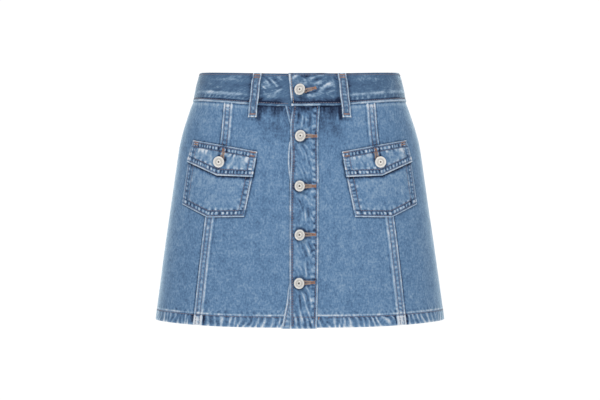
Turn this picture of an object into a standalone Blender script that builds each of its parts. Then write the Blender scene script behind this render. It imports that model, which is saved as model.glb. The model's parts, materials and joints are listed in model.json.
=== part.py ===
"""Denim skort: a buttoned A-line skirt with flap pockets, over a plain pair of inner shorts.

Metres, +Z up. The front faces -Y and the wearer's left is +X. The origin is the middle of the
waist, level with the middle of the waistband at the side seams. Cloth is a wall laid on one
smooth body form, and each layer is that form moved out or in along its normals.
"""

import math
from typing import NamedTuple

import bmesh
import bpy
from mathutils import Vector

# Cloth and gaps
CLOTH = 0.0012
HEM_WALL = 0.0024
STAND_WALL = 0.0014
PLACKET_WALL = 0.0020
BAND_WALL = 0.0030
FLAP_WALL = 0.0016
LOOP_WALL = 0.0015
SEAM_GAP = 0.0003
LAY_GAP = 0.0004

# Heights
RIM_SIDE_Z = 0.0179
RIM_FRONT_DIP = 0.0055
RIM_BACK_RISE = 0.0025
WAIST_SEAM_SIDE_Z = -0.0202
WAIST_SEAM_FRONT_DIP = 0.0102
WAIST_SEAM_BACK_RISE = 0.0015
HEM_SIDE_Z = -0.3076
HEM_FRONT_DIP = 0.0042
HEM_FOLD = 0.0133
HEM_STEP = 0.0010
CLOSURE_DROP = 0.0013
SHORTS_HEM_Z = -0.2850

# Waistband, its overlapping front ends and the button stand
BAND_PROUD = 0.0008
OVER_END_TOP_X = -0.0144
OVER_END_BOTTOM_X = -0.0096
UNDER_END_X = 0.0160
RAMP_INNER_X = 0.0260
RAMP_OUTER_X = 0.0450
PANEL_TUCK = 0.0050
STAND_TUCK = 0.0060

# Belt loops and buttons
LOOP_WIDTH = 0.0112
FRONT_LOOP_TURN = math.radians(23.2)
BACK_LOOP_TURN = math.radians(128.0)
BUTTON_X = 0.0005
BUTTON_SHANK_RADIUS = 0.0022
BUTTON_HOLE_RADIUS = 0.0026
BUTTON_SIDES = 20
HOLE_SIDES = 16
HOLE_CUT_LENGTH = 0.0100
WAIST_BUTTON_Z = -0.0100
FRONT_BUTTON_HEIGHTS = (-0.0690, -0.1327, -0.1949, -0.2560)
FLAP_BUTTON_X = 0.1012
FLAP_BUTTON_Z = -0.1018

# Grids
SQUARENESS = 2.3
STEP = 0.001
TOUCH = 0.000001
SHARP_ANGLE = math.radians(35.0)
PANEL_ROWS = 9
CENTRE_COLUMNS = 8
SIDE_COLUMNS = 8
BACK_COLUMNS = 15
STAND_COLUMNS = 4
PLACKET_ROWS = 15
PLACKET_COLUMNS = 4
BAND_ROWS = 3
OVER_END_COLUMNS = 5
RAMP_COLUMNS = 6
BAND_COLUMNS = 64
SHORTS_COLUMNS = 13
SHORTS_ROWS = 13


class Section(NamedTuple):
    """One level of the body form: half width, and depth before and behind the side seams."""

    z: float
    half_width: float
    front_depth: float
    back_depth: float


class Line(NamedTuple):
    """One point of an upright seam or edge on the front, seen from the front."""

    z: float
    x: float


class Place(NamedTuple):
    """A spot on the body form: turn from the front, height, outer lift and wall thickness."""

    turn: float
    z: float
    lift: float
    wall: float


class LoopBend(NamedTuple):
    """One bend of a belt loop: drop below the rim and the lift of its underside."""

    drop: float
    lift: float


class ShortsLevel(NamedTuple):
    """One level of the shorts: how far inside the form, share of leg, and inner leg distance."""

    z: float
    ease: float
    leg_share: float
    inner_x: float


class Ring(NamedTuple):
    """One ring of a turned button: radius, and height above the cap's underside."""

    radius: float
    height: float


BODY = (
    Section(0.0200, 0.1313, 0.0880, 0.0930),
    Section(0.0000, 0.1367, 0.0915, 0.0965),
    Section(-0.0185, 0.1404, 0.0950, 0.1000),
    Section(-0.0300, 0.1448, 0.0972, 0.1035),
    Section(-0.0450, 0.1498, 0.1000, 0.1075),
    Section(-0.0600, 0.1545, 0.1022, 0.1115),
    Section(-0.0800, 0.1592, 0.1050, 0.1160),
    Section(-0.1180, 0.1646, 0.1085, 0.1220),
    Section(-0.1610, 0.1710, 0.1115, 0.1265),
    Section(-0.2030, 0.1772, 0.1145, 0.1298),
    Section(-0.2460, 0.1832, 0.1180, 0.1325),
    Section(-0.2880, 0.1888, 0.1215, 0.1350),
    Section(-0.3130, 0.1918, 0.1238, 0.1365),
)

PRINCESS_SEAM = (
    Line(-0.0200, 0.0912),
    Line(-0.0770, 0.0960),
    Line(-0.1250, 0.1054),
    Line(-0.1750, 0.1154),
    Line(-0.3130, 0.1314),
)

PLACKET_FREE_EDGE = (
    Line(-0.0280, -0.0078),
    Line(-0.0560, -0.0112),
    Line(-0.0950, -0.0100),
    Line(-0.1325, -0.0116),
    Line(-0.2400, -0.0120),
    Line(-0.3130, -0.0115),
)

PLACKET_SEWN_EDGE = (
    Line(-0.0280, 0.0252),
    Line(-0.0680, 0.0230),
    Line(-0.1320, 0.0233),
    Line(-0.2550, 0.0224),
    Line(-0.3130, 0.0208),
)

UNDER_SEAM = (
    Line(-0.0280, -0.0187),
    Line(-0.0560, -0.0132),
    Line(-0.0860, -0.0142),
    Line(-0.2550, -0.0136),
    Line(-0.2800, -0.0160),
    Line(-0.3130, -0.0225),
)

# Pocket and flap outlines on the wearer's left, from the inner edge to the outer one
POCKET_TOP = (Line(-0.1007, 0.0557), Line(-0.0841, 0.1415))
POCKET_BOTTOM = (Line(-0.1716, 0.0705), Line(-0.1724, 0.1177), Line(-0.1556, 0.1513))
FLAP_TOP = (Line(-0.0885, 0.0537), Line(-0.0726, 0.1374))
FLAP_BOTTOM = (Line(-0.1210, 0.0590), Line(-0.1190, 0.1044), Line(-0.1008, 0.1432))
INNER_COLUMNS = 5
OUTER_COLUMNS = 4
POCKET_ROW_COUNT = 6
FLAP_ROWS = (0.0, 0.2, 0.33, 0.55, 0.78, 1.0)
FLAP_SEWN_SHARE = 0.2

LOOP_PATH = (
    LoopBend(0.0003, 0.0011),
    LoopBend(0.0060, 0.0012),
    LoopBend(0.0110, 0.0034),
    LoopBend(0.0210, 0.0040),
    LoopBend(0.0320, 0.0041),
    LoopBend(0.0430, 0.0038),
    LoopBend(0.0485, 0.0022),
    LoopBend(0.0520, 0.0005),
    LoopBend(0.0575, 0.0004),
)

SHORTS = (
    ShortsLevel(-0.0180, 0.0018, 0.00, 0.00015),
    ShortsLevel(-0.0450, 0.0030, 0.00, 0.00015),
    ShortsLevel(-0.0800, 0.0060, 0.00, 0.00015),
    ShortsLevel(-0.1200, 0.0090, 0.00, 0.00015),
    ShortsLevel(-0.1550, 0.0110, 0.02, 0.00015),
    ShortsLevel(-0.1850, 0.0125, 0.22, 0.00015),
    ShortsLevel(-0.2080, 0.0140, 0.62, 0.00015),
    ShortsLevel(-0.2250, 0.0150, 1.00, 0.00030),
    ShortsLevel(-0.2850, 0.0160, 1.00, 0.00800),
)
LEG_DEPTH_SHARE = 0.93

BUTTON_PROFILE = (
    Ring(0.0064, 0.0000),
    Ring(0.0073, 0.0006),
    Ring(0.0073, 0.0011),
    Ring(0.0064, 0.0018),
    Ring(0.0052, 0.0018),
    Ring(0.0043, 0.0013),
    Ring(0.0026, 0.0013),
    Ring(0.0018, 0.0016),
    Ring(0.0010, 0.0009),
)

COLOURS = {
    "denim": (0.125, 0.233, 0.392, 1.0),
    "denim_band": (0.105, 0.190, 0.320, 1.0),
    "denim_shorts": (0.140, 0.250, 0.400, 1.0),
    "button_metal": (0.62, 0.58, 0.54, 1.0),
}
CLOTH_ROUGHNESS = 0.88
METAL_ROUGHNESS = 0.38


# ---------------------------------------------------------------- small helpers

def mix(start, end, share):
    """Value between two numbers."""
    return start + (end - start) * share


def spread(start, end, count):
    """Evenly spaced numbers from start to end."""
    return [mix(start, end, index / (count - 1)) for index in range(count)]


def smooth_share(share):
    """Share from 0 to 1 eased at both ends."""
    share = min(max(share, 0.0), 1.0)
    return share * share * (3.0 - 2.0 * share)


def read_table(rows, key, name):
    """Column of a table at a height between its rows, on a smooth curve through them."""
    keys = [row[0] for row in rows]
    values = [getattr(row, name) for row in rows]
    last = len(rows) - 2
    index = next((i for i in range(last) if key >= keys[i + 1]), last)

    def slope(at):
        low = max(at - 1, 0)
        high = min(at + 1, len(rows) - 1)
        return (values[high] - values[low]) / (keys[high] - keys[low])

    width = keys[index + 1] - keys[index]
    share = min(max((key - keys[index]) / width, 0.0), 1.0)
    rise = values[index + 1] - values[index]
    start_slope = slope(index) * width
    end_slope = slope(index + 1) * width
    curve = share * share * (3.0 - 2.0 * share) * rise
    curve += share * (1.0 - share) ** 2 * start_slope
    curve -= share * share * (1.0 - share) * end_slope
    return values[index] + curve


# ---------------------------------------------------------------- body form

def body_point(turn, z):
    """Point on the skirt cloth's outer face; turn is 0 in front and grows to the wearer's left."""
    side = math.sin(turn)
    front = math.cos(turn)
    reach = (abs(side) ** SQUARENESS + abs(front) ** SQUARENESS) ** (-1.0 / SQUARENESS)
    half_width = read_table(BODY, z, "half_width")
    depth = read_table(BODY, z, "front_depth" if front > 0.0 else "back_depth")
    return Vector((half_width * side * reach, -depth * front * reach, z))


def form_normal(turn, z):
    """Outward normal of the body form."""
    along = body_point(turn + STEP, z) - body_point(turn - STEP, z)
    up = body_point(turn, z + STEP) - body_point(turn, z - STEP)
    return along.cross(up).normalized()


def form_point(turn, z, lift):
    """Point of the body form moved out along its normal."""
    return body_point(turn, z) + form_normal(turn, z) * lift


def turn_at(x, z):
    """Turn at which the front of the body form has this x."""
    share = x / read_table(BODY, z, "half_width")
    rest = (1.0 - abs(share) ** SQUARENESS) ** (1.0 / SQUARENESS)
    return math.atan2(share, rest)


def nudge(turn, z, distance):
    """Turn moved by a distance along the cloth."""
    span = (body_point(turn + STEP, z) - body_point(turn - STEP, z)).length
    return turn + distance * 2.0 * STEP / span


def rim_z(turn):
    """Height of the waistband's top edge."""
    front = math.cos(turn)
    change = -RIM_FRONT_DIP if front > 0.0 else RIM_BACK_RISE
    return RIM_SIDE_Z + change * front * front


def waist_seam_z(turn):
    """Height of the waistband's lower edge."""
    front = math.cos(turn)
    if front > 0.0:
        return WAIST_SEAM_SIDE_Z - WAIST_SEAM_FRONT_DIP * front ** 3
    return WAIST_SEAM_SIDE_Z + WAIST_SEAM_BACK_RISE * front * front


def hem_z(turn):
    """Height of the skirt's hem."""
    return HEM_SIDE_Z - HEM_FRONT_DIP * smooth_share(math.cos(turn) ** 2)


# ---------------------------------------------------------------- walls and materials

def add_material(name, colour, roughness, metallic):
    """Principled material with one colour."""
    material = bpy.data.materials.new(name)
    material.use_nodes = True
    shader = material.node_tree.nodes["Principled BSDF"]
    shader.inputs["Base Color"].default_value = colour
    shader.inputs["Roughness"].default_value = roughness
    shader.inputs["Metallic"].default_value = metallic
    return material


def add_object(name, mesh, colour_name):
    """Object with its own material, made from a bmesh that is then freed."""
    data = bpy.data.meshes.new(name)
    mesh.to_mesh(data)
    mesh.free()
    metal = colour_name == "button_metal"
    roughness = METAL_ROUGHNESS if metal else CLOTH_ROUGHNESS
    data.materials.append(add_material(name, COLOURS[colour_name], roughness, float(metal)))
    piece = bpy.data.objects.new(name, data)
    bpy.context.scene.collection.objects.link(piece)
    data.shade_smooth()
    data.set_sharp_from_angle(angle=SHARP_ANGLE)
    return piece


def border_of(row_count, column_count):
    """Grid places round the edge, anticlockwise seen from outside."""
    left = [(row, 0) for row in range(row_count - 1)]
    bottom = [(row_count - 1, column) for column in range(column_count - 1)]
    right = [(row, column_count - 1) for row in range(row_count - 1, 0, -1)]
    top = [(0, column) for column in range(column_count - 1, 0, -1)]
    return left + bottom + right + top


def cloth_wall(name, outer, inner, colour_name):
    """Closed wall between two grids whose rows run down and whose columns run to the right."""
    mesh = bmesh.new()
    face_rows = [[mesh.verts.new(point) for point in row] for row in outer]
    back_rows = [[mesh.verts.new(point) for point in row] for row in inner]
    row_count = len(outer)
    column_count = len(outer[0])
    for row in range(row_count - 1):
        for column in range(column_count - 1):
            corners = ((row, column), (row + 1, column), (row + 1, column + 1), (row, column + 1))
            mesh.faces.new([face_rows[r][c] for r, c in corners])
            mesh.faces.new([back_rows[r][c] for r, c in reversed(corners)])
    border = border_of(row_count, column_count)
    for (row, column), (next_row, next_column) in zip(border, border[1:] + border[:1]):
        mesh.faces.new((
            face_rows[row][column],
            back_rows[row][column],
            back_rows[next_row][next_column],
            face_rows[next_row][next_column],
        ))
    return add_object(name, mesh, colour_name)


def wall_on_form(name, places, colour_name):
    """Cloth wall whose outer face lies at each place's lift above the body form."""
    outer = [[form_point(p.turn, p.z, p.lift) for p in row] for row in places]
    inner = [[form_point(p.turn, p.z, p.lift - p.wall) for p in row] for row in places]
    return cloth_wall(name, outer, inner, colour_name)


def mirrored(places):
    """The same places on the wearer's other side."""
    return [[p._replace(turn=-p.turn) for p in reversed(row)] for row in places]


# ---------------------------------------------------------------- skirt panels

def upright(z_rows, turn_left, turn_right, column_count, lift):
    """Grid between two upright edges; z_rows gives each row's height at a turn, and its wall."""
    places = []
    for height, wall in z_rows:
        row = []
        for share in spread(0.0, 1.0, column_count):
            z = height(0.0)
            for _ in range(4):
                turn = mix(turn_left(z), turn_right(z), share)
                z = height(turn)
            row.append(Place(turn, z, lift, wall))
        places.append(row)
    return places


def panel_rows(wall, drop=0.0):
    """Row heights from the waist seam to the hem, whose folded edge is thicker inside.

    The lowest row hangs below the skirt's hem by drop.
    """
    def height_at(share):
        def height(turn):
            top = waist_seam_z(turn) - SEAM_GAP
            return mix(top, hem_z(turn) + HEM_FOLD, share)
        return height

    rows = [(height_at(share), wall) for share in spread(0.0, 1.0, PANEL_ROWS)]
    rows.append((lambda turn: hem_z(turn) + HEM_FOLD - HEM_STEP, max(wall, HEM_WALL)))
    rows.append((lambda turn: hem_z(turn) - drop, max(wall, HEM_WALL)))
    return rows


def seam_turn(line, shift, side=1.0):
    """Function of height giving the turn of a seam line, moved along the cloth by shift."""
    def turn(z):
        x = side * read_table(line, z, "x")
        return nudge(turn_at(x, z), z, shift)
    return turn


def fixed_turn(turn, shift):
    """Function of height giving a constant turn, moved along the cloth by shift."""
    return lambda z: nudge(turn, z, shift)


def build_panels():
    """Front panels, back panels and the button stand, edge to edge on the body form."""
    half_gap = SEAM_GAP / 2.0
    rows = panel_rows(CLOTH)
    side_seam = math.pi / 2.0
    left_side = upright(
        rows,
        seam_turn(PRINCESS_SEAM, half_gap),
        fixed_turn(side_seam, -half_gap),
        SIDE_COLUMNS,
        0.0,
    )
    left_centre = upright(
        rows,
        seam_turn(PLACKET_SEWN_EDGE, -PANEL_TUCK),
        seam_turn(PRINCESS_SEAM, -half_gap),
        CENTRE_COLUMNS,
        0.0,
    )
    right_centre = upright(
        rows,
        seam_turn(PRINCESS_SEAM, half_gap, side=-1.0),
        seam_turn(UNDER_SEAM, -half_gap),
        CENTRE_COLUMNS,
        0.0,
    )
    stand = upright(
        panel_rows(STAND_WALL, drop=CLOSURE_DROP),
        seam_turn(UNDER_SEAM, half_gap),
        seam_turn(PLACKET_SEWN_EDGE, -STAND_TUCK),
        STAND_COLUMNS,
        0.0,
    )
    left_back = upright(
        rows,
        fixed_turn(side_seam, half_gap),
        fixed_turn(math.pi, -half_gap),
        BACK_COLUMNS,
        0.0,
    )
    wall_on_form("front_left_side", left_side, "denim")
    wall_on_form("front_right_side", mirrored(left_side), "denim")
    wall_on_form("front_left_centre", left_centre, "denim")
    wall_on_form("front_right_centre", right_centre, "denim")
    wall_on_form("placket_inner", stand, "denim")
    wall_on_form("back_left", left_back, "denim")
    wall_on_form("back_right", mirrored(left_back), "denim")


def build_placket():
    """Outer placket band, lying over the button stand, with a hole for each button's shank."""
    def height_at(share):
        return lambda turn: mix(
            waist_seam_z(turn) - SEAM_GAP, hem_z(turn) - CLOSURE_DROP, share
        )

    rows = [(height_at(share), PLACKET_WALL) for share in spread(0.0, 1.0, PLACKET_ROWS)]
    places = upright(
        rows,
        seam_turn(PLACKET_FREE_EDGE, 0.0),
        seam_turn(PLACKET_SEWN_EDGE, 0.0),
        PLACKET_COLUMNS,
        LAY_GAP + PLACKET_WALL,
    )
    band = wall_on_form("placket_outer", places, "denim")
    for z in FRONT_BUTTON_HEIGHTS:
        cut_button_hole(band, turn_at(BUTTON_X, z), z)


# ---------------------------------------------------------------- waistband and belt loops

def band_lift(turn):
    """Outer lift of the waistband, whose over end climbs onto the under end at the front."""
    inner = turn_at(RAMP_INNER_X, 0.0)
    outer = turn_at(RAMP_OUTER_X, 0.0)
    raised = 1.0 - smooth_share((turn - inner) / (outer - inner))
    return BAND_PROUD + raised * (BAND_WALL + SEAM_GAP)


def build_waistband():
    """One strip round the waist, from its over end in front to its under end behind that."""
    places = []
    for share in spread(0.0, 1.0, BAND_ROWS):
        end_turn = turn_at(mix(OVER_END_TOP_X, OVER_END_BOTTOM_X, share), 0.0)
        turns = spread(end_turn, turn_at(RAMP_INNER_X, 0.0), OVER_END_COLUMNS)
        turns += spread(turns[-1], turn_at(RAMP_OUTER_X, 0.0), RAMP_COLUMNS)[1:]
        turns += spread(turns[-1], math.tau + turn_at(UNDER_END_X, 0.0), BAND_COLUMNS)[1:]
        places.append([
            Place(turn, mix(rim_z(turn), waist_seam_z(turn), share), band_lift(turn), BAND_WALL)
            for turn in turns
        ])
    band = wall_on_form("waistband", places, "denim_band")
    turn = turn_at(BUTTON_X, WAIST_BUTTON_Z)
    cut_button_hole(band, turn, WAIST_BUTTON_Z, start=BAND_PROUD + SEAM_GAP / 2.0)


def build_belt_loop(name, turn):
    """Strip tacked to the rim and below the waist seam, standing off the waistband between."""
    half_width = LOOP_WIDTH / 2.0
    places = []
    for bend in LOOP_PATH:
        z = rim_z(turn) - bend.drop
        places.append([
            Place(nudge(turn, z, shift), z, bend.lift + LOOP_WALL, LOOP_WALL)
            for shift in (-half_width, 0.0, half_width)
        ])
    wall_on_form(name, places, "denim_band")


def build_belt_loops():
    """Two loops in front, two behind the sides and one at the centre back."""
    build_belt_loop("belt_loop_front_left", FRONT_LOOP_TURN)
    build_belt_loop("belt_loop_front_right", -FRONT_LOOP_TURN)
    build_belt_loop("belt_loop_back_left", BACK_LOOP_TURN)
    build_belt_loop("belt_loop_back_right", -BACK_LOOP_TURN)
    build_belt_loop("belt_loop_back_centre", math.pi)


# ---------------------------------------------------------------- pockets and flaps

def outline_point(line, share):
    """Point of an outline at a share of its width."""
    x = mix(line[0].x, line[-1].x, share)
    for start, end in zip(line, line[1:]):
        if x <= end.x + TOUCH:
            break
    z = mix(start.z, end.z, (x - start.x) / (end.x - start.x))
    return x, z


def patch_places(top, bottom, row_shares, lift_at, wall):
    """Grid between a patch's top and bottom outlines, with a column at the bottom's corner."""
    corner = (bottom[1].x - bottom[0].x) / (bottom[-1].x - bottom[0].x)
    shares = spread(0.0, corner, INNER_COLUMNS + 1)
    shares += spread(corner, 1.0, OUTER_COLUMNS + 1)[1:]
    places = []
    for down in row_shares:
        row = []
        for share in shares:
            top_x, top_z = outline_point(top, share)
            bottom_x, bottom_z = outline_point(bottom, share)
            x = mix(top_x, bottom_x, down)
            z = mix(top_z, bottom_z, down)
            row.append(Place(turn_at(x, z), z, lift_at(down), wall))
        places.append(row)
    return places


def flap_lift(down):
    """Outer lift of the flap, sewn flat at its top and then lying over the pocket."""
    over_pocket = LAY_GAP + CLOTH + LAY_GAP
    share = smooth_share((down - FLAP_SEWN_SHARE) / (FLAP_ROWS[2] - FLAP_SEWN_SHARE))
    return mix(LAY_GAP, over_pocket, share) + FLAP_WALL


def build_pockets():
    """Patch pockets across the princess seams, with buttoned flaps over their openings."""
    pocket_rows = spread(0.0, 1.0, POCKET_ROW_COUNT)
    lift = LAY_GAP + CLOTH
    pocket = patch_places(POCKET_TOP, POCKET_BOTTOM, pocket_rows, lambda down: lift, CLOTH)
    flap = patch_places(FLAP_TOP, FLAP_BOTTOM, FLAP_ROWS, flap_lift, FLAP_WALL)
    wall_on_form("pocket_left", pocket, "denim")
    wall_on_form("pocket_right", mirrored(pocket), "denim")
    turn = turn_at(FLAP_BUTTON_X, FLAP_BUTTON_Z)
    left_flap = wall_on_form("flap_left", flap, "denim")
    cut_button_hole(left_flap, turn, FLAP_BUTTON_Z)
    right_flap = wall_on_form("flap_right", mirrored(flap), "denim")
    cut_button_hole(right_flap, -turn, FLAP_BUTTON_Z)


# ---------------------------------------------------------------- shorts

def shorts_point(share, z):
    """Point on the left half of the shorts, from the centre front (0) round to the back (1)."""
    ease = read_table(SHORTS, z, "ease")
    leg_share = min(max(read_table(SHORTS, z, "leg_share"), 0.0), 1.0)
    inner_x = read_table(SHORTS, z, "inner_x")
    seat = form_point(share * math.pi, z, -ease)
    seat.x += SEAM_GAP / 2.0
    outer_x = read_table(BODY, z, "half_width") - ease
    front_depth = (read_table(BODY, z, "front_depth") - ease) * LEG_DEPTH_SHARE
    back_depth = (read_table(BODY, z, "back_depth") - ease) * LEG_DEPTH_SHARE
    around = (share - 0.5) * (math.tau - SEAM_GAP / front_depth)
    depth = front_depth if around < 0.0 else back_depth
    centre_x = (inner_x + outer_x) / 2.0
    leg_x = centre_x + (outer_x - inner_x) / 2.0 * math.cos(around)
    leg = Vector((leg_x, depth * math.sin(around), z))
    return seat.lerp(leg, leg_share)


def shorts_normal(share, z):
    """Outward normal of the shorts' left half."""
    along = shorts_point(share + STEP, z) - shorts_point(share - STEP, z)
    up = shorts_point(share, z + STEP) - shorts_point(share, z - STEP)
    return along.cross(up).normalized()


def shorts_side_share(z, side):
    """Share at which a shorts panel stops short of the side seam, on its front or back side."""
    span = (shorts_point(0.5 + STEP, z) - shorts_point(0.5 - STEP, z)).length
    return 0.5 + side * SEAM_GAP * STEP / span


def shorts_panel(start_at, end_at):
    """Outer and inner grids of one left panel, between two edges given as shares of height."""
    outer = []
    inner = []
    for down in spread(0.0, 1.0, SHORTS_ROWS):
        level = mix(WAIST_SEAM_SIDE_Z, SHORTS_HEM_Z, down)
        shares = spread(start_at(level), end_at(level), SHORTS_COLUMNS)
        heights = [mix(waist_seam_z(s * math.pi) - SEAM_GAP, SHORTS_HEM_Z, down) for s in shares]
        points = [shorts_point(s, z) for s, z in zip(shares, heights)]
        normals = [shorts_normal(s, z) for s, z in zip(shares, heights)]
        outer.append(points)
        inner.append([point - normal * CLOTH for point, normal in zip(points, normals)])
    return outer, inner


def build_shorts():
    """Front and back panels of plain shorts, joined under the waistband and open at both legs."""
    panels = {
        "front": shorts_panel(lambda z: 0.0, lambda z: shorts_side_share(z, -1.0)),
        "back": shorts_panel(lambda z: shorts_side_share(z, 1.0), lambda z: 1.0),
    }
    flip = Vector((-1.0, 1.0, 1.0))
    for name, grids in panels.items():
        cloth_wall(f"shorts_{name}_left", *grids, "denim_shorts")
        outer, inner = [[[point * flip for point in reversed(row)] for row in g] for g in grids]
        cloth_wall(f"shorts_{name}_right", outer, inner, "denim_shorts")


# ---------------------------------------------------------------- buttons

def cut_button_hole(cloth, turn, z, start=0.0):
    """Round hole through a cloth wall for a button's shank, from a lift outwards."""
    bpy.ops.mesh.primitive_cylinder_add(
        vertices=HOLE_SIDES,
        radius=BUTTON_HOLE_RADIUS,
        depth=HOLE_CUT_LENGTH,
    )
    cutter = bpy.context.object
    cutter.name = f"cut_{cloth.name}_{abs(z) * 1000.0:.0f}"
    normal = form_normal(turn, z)
    cutter.rotation_mode = "QUATERNION"
    cutter.rotation_quaternion = normal.to_track_quat("Z", "Y")
    cutter.location = form_point(turn, z, start) + normal * HOLE_CUT_LENGTH / 2.0
    cutter.hide_render = True
    cutter.display_type = "WIRE"
    hole = cloth.modifiers.new(cutter.name, "BOOLEAN")
    hole.operation = "DIFFERENCE"
    hole.object = cutter


def build_button(name, turn, z, seat_lift, cap_lift):
    """Turned metal button whose shank runs from its seat, through the cloth, to the cap."""
    shank_length = cap_lift - seat_lift
    rings = [Ring(BUTTON_SHANK_RADIUS, -shank_length), Ring(BUTTON_SHANK_RADIUS, 0.0)]
    rings += BUTTON_PROFILE
    mesh = bmesh.new()
    loops = []
    for ring in rings:
        angles = [math.tau * side / BUTTON_SIDES for side in range(BUTTON_SIDES)]
        loops.append([
            mesh.verts.new((ring.radius * math.cos(a), ring.radius * math.sin(a), ring.height))
            for a in angles
        ])
    for low, high in zip(loops, loops[1:]):
        for side in range(BUTTON_SIDES):
            after = (side + 1) % BUTTON_SIDES
            mesh.faces.new((low[side], low[after], high[after], high[side]))
    mesh.faces.new(list(reversed(loops[0])))
    mesh.faces.new(loops[-1])
    button = add_object(name, mesh, "button_metal")
    normal = form_normal(turn, z)
    button.rotation_mode = "QUATERNION"
    button.rotation_quaternion = normal.to_track_quat("Z", "Y")
    button.location = form_point(turn, z, cap_lift)


def build_buttons():
    """Waist button, four front buttons and one button on each flap, all fastened."""
    turn = turn_at(BUTTON_X, WAIST_BUTTON_Z)
    over_end = BAND_PROUD + SEAM_GAP + BAND_WALL
    build_button("button_waist", turn, WAIST_BUTTON_Z, BAND_PROUD + SEAM_GAP, over_end + LAY_GAP)
    placket_face = LAY_GAP + PLACKET_WALL
    for number, z in enumerate(FRONT_BUTTON_HEIGHTS, start=1):
        turn = turn_at(BUTTON_X, z)
        build_button(f"button_front_{number}", turn, z, SEAM_GAP, placket_face + LAY_GAP)
    pocket_face = LAY_GAP + CLOTH
    flap_face = flap_lift(1.0)
    turn = turn_at(FLAP_BUTTON_X, FLAP_BUTTON_Z)
    for name, side in (("button_flap_left", 1.0), ("button_flap_right", -1.0)):
        seat = pocket_face + SEAM_GAP
        build_button(name, side * turn, FLAP_BUTTON_Z, seat, flap_face + LAY_GAP)


def main():
    """Clears the scene and builds every piece."""
    for old in list(bpy.data.objects):
        bpy.data.objects.remove(old)
    build_shorts()
    build_panels()
    build_placket()
    build_waistband()
    build_belt_loops()
    build_pockets()
    build_buttons()


main()
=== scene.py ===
"""Looks of a denim skort: washed cloth, seams, thread and buttons over its solids.

Sizes are in millimetres in the frame of the solids, whose front faces -Y and whose wearer's left
is +X; meshes are made in metres. Every piece of cloth is a thin closed shell laid on one smooth
body form, the same form as the solids. A turn is an angle round the form from the centre front.
"""
import sys

import json
import logging
import math
from dataclasses import dataclass
from enum import Enum
from typing import Callable, NamedTuple, Sequence

import bmesh
import bpy
import numpy as np
from mathutils import Matrix, Vector
from mathutils.bvhtree import BVHTree

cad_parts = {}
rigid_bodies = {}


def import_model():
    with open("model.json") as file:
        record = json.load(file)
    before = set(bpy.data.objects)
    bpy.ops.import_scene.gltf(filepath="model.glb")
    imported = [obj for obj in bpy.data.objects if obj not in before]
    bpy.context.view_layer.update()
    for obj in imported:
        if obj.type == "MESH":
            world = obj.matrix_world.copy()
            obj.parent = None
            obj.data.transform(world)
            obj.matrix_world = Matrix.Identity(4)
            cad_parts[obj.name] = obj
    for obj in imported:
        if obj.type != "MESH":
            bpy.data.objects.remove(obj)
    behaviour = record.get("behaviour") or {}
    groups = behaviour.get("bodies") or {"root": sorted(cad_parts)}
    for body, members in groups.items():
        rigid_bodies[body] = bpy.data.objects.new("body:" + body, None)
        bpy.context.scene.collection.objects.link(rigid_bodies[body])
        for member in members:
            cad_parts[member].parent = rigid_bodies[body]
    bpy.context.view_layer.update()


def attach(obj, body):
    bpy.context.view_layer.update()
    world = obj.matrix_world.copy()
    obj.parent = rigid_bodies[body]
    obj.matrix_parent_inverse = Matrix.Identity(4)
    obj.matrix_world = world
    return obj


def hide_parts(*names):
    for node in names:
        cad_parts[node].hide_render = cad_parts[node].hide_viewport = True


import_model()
log = logging.getLogger("skort")

Array = np.ndarray
Number = Array | float
Places = tuple[Array, Array]
Colour = tuple[float, float, float, float]
Pair = tuple[float, float]
Path = Sequence[Pair]
Edge = Callable[[Array], Array]
Piece = bpy.types.Object
Material = bpy.types.Material

MM = 0.001
BODY_NAME = "root"
FRONT_LOOP_TURN = math.radians(23.2)
BACK_LOOP_TURN = math.radians(128.0)
SIDE_SEAM_TURN = math.pi / 2.0

# Walls and gaps of the cloth, as in the solids
CLOTH = 1.2
STAND_WALL = 1.4
PLACKET_WALL = 2.0
BAND_WALL = 3.0
FLAP_WALL = 1.6
LOOP_WALL = 1.5
SEAM_GAP = 0.3
LAY_GAP = 0.4
BAND_PROUD = 0.8
HEM_FOLD = 13.3
CLOSURE_DROP = 1.3
PANEL_TUCK = 5.0

# Rough length of a panel, first grid lines in from a rounded edge, and a distance at which
# every relief has died away
SKIRT_LENGTH = 286.0
EDGE_STEPS = (0.12, 0.40, 0.95)
FAR = 1000.0

# Columns and rows of the random table behind an uneven value, both prime
DRIFT_TABLE = (61, 67)


class Side(Enum):
    """Side of the wearer that a piece is on."""

    LEFT = 1
    RIGHT = -1

    @property
    def word(self) -> str:
        """The side's name as it stands in a piece's name."""
        return self.name.lower()


class Held(Enum):
    """How a sheet of cloth is held."""

    HUNG = "hung"
    LAID = "laid"
    STRETCHED = "stretched"


class Slot(Enum):
    """Material slots of the record."""

    DENIM = "denim"
    BAND = "denim_band"
    SHORTS = "denim_shorts"
    THREAD = "thread"
    BRIGHT = "thread_bright"
    METAL = "button_metal"


# ---- shapes in numbers

def ease(share: Array) -> Array:
    """Share from 0 to 1, eased at both ends."""
    return share * share * (3.0 - 2.0 * share)


def smooth(low: Number, high: Number, value: Number) -> Array:
    """Share from 0 at low to 1 at high, eased at both ends."""
    return ease(np.clip((value - low) / (high - low), 0.0, 1.0))


def fade(low: Number, high: Number, value: Number) -> Array:
    """Share from 1 at low to 0 at high."""
    return 1.0 - smooth(low, high, value)


def hump(distance: Array, width: Number) -> Array:
    """Bell of height 1 at distance 0, that has nearly died away at twice its width."""
    return np.exp(-(distance / width) ** 2)


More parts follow.
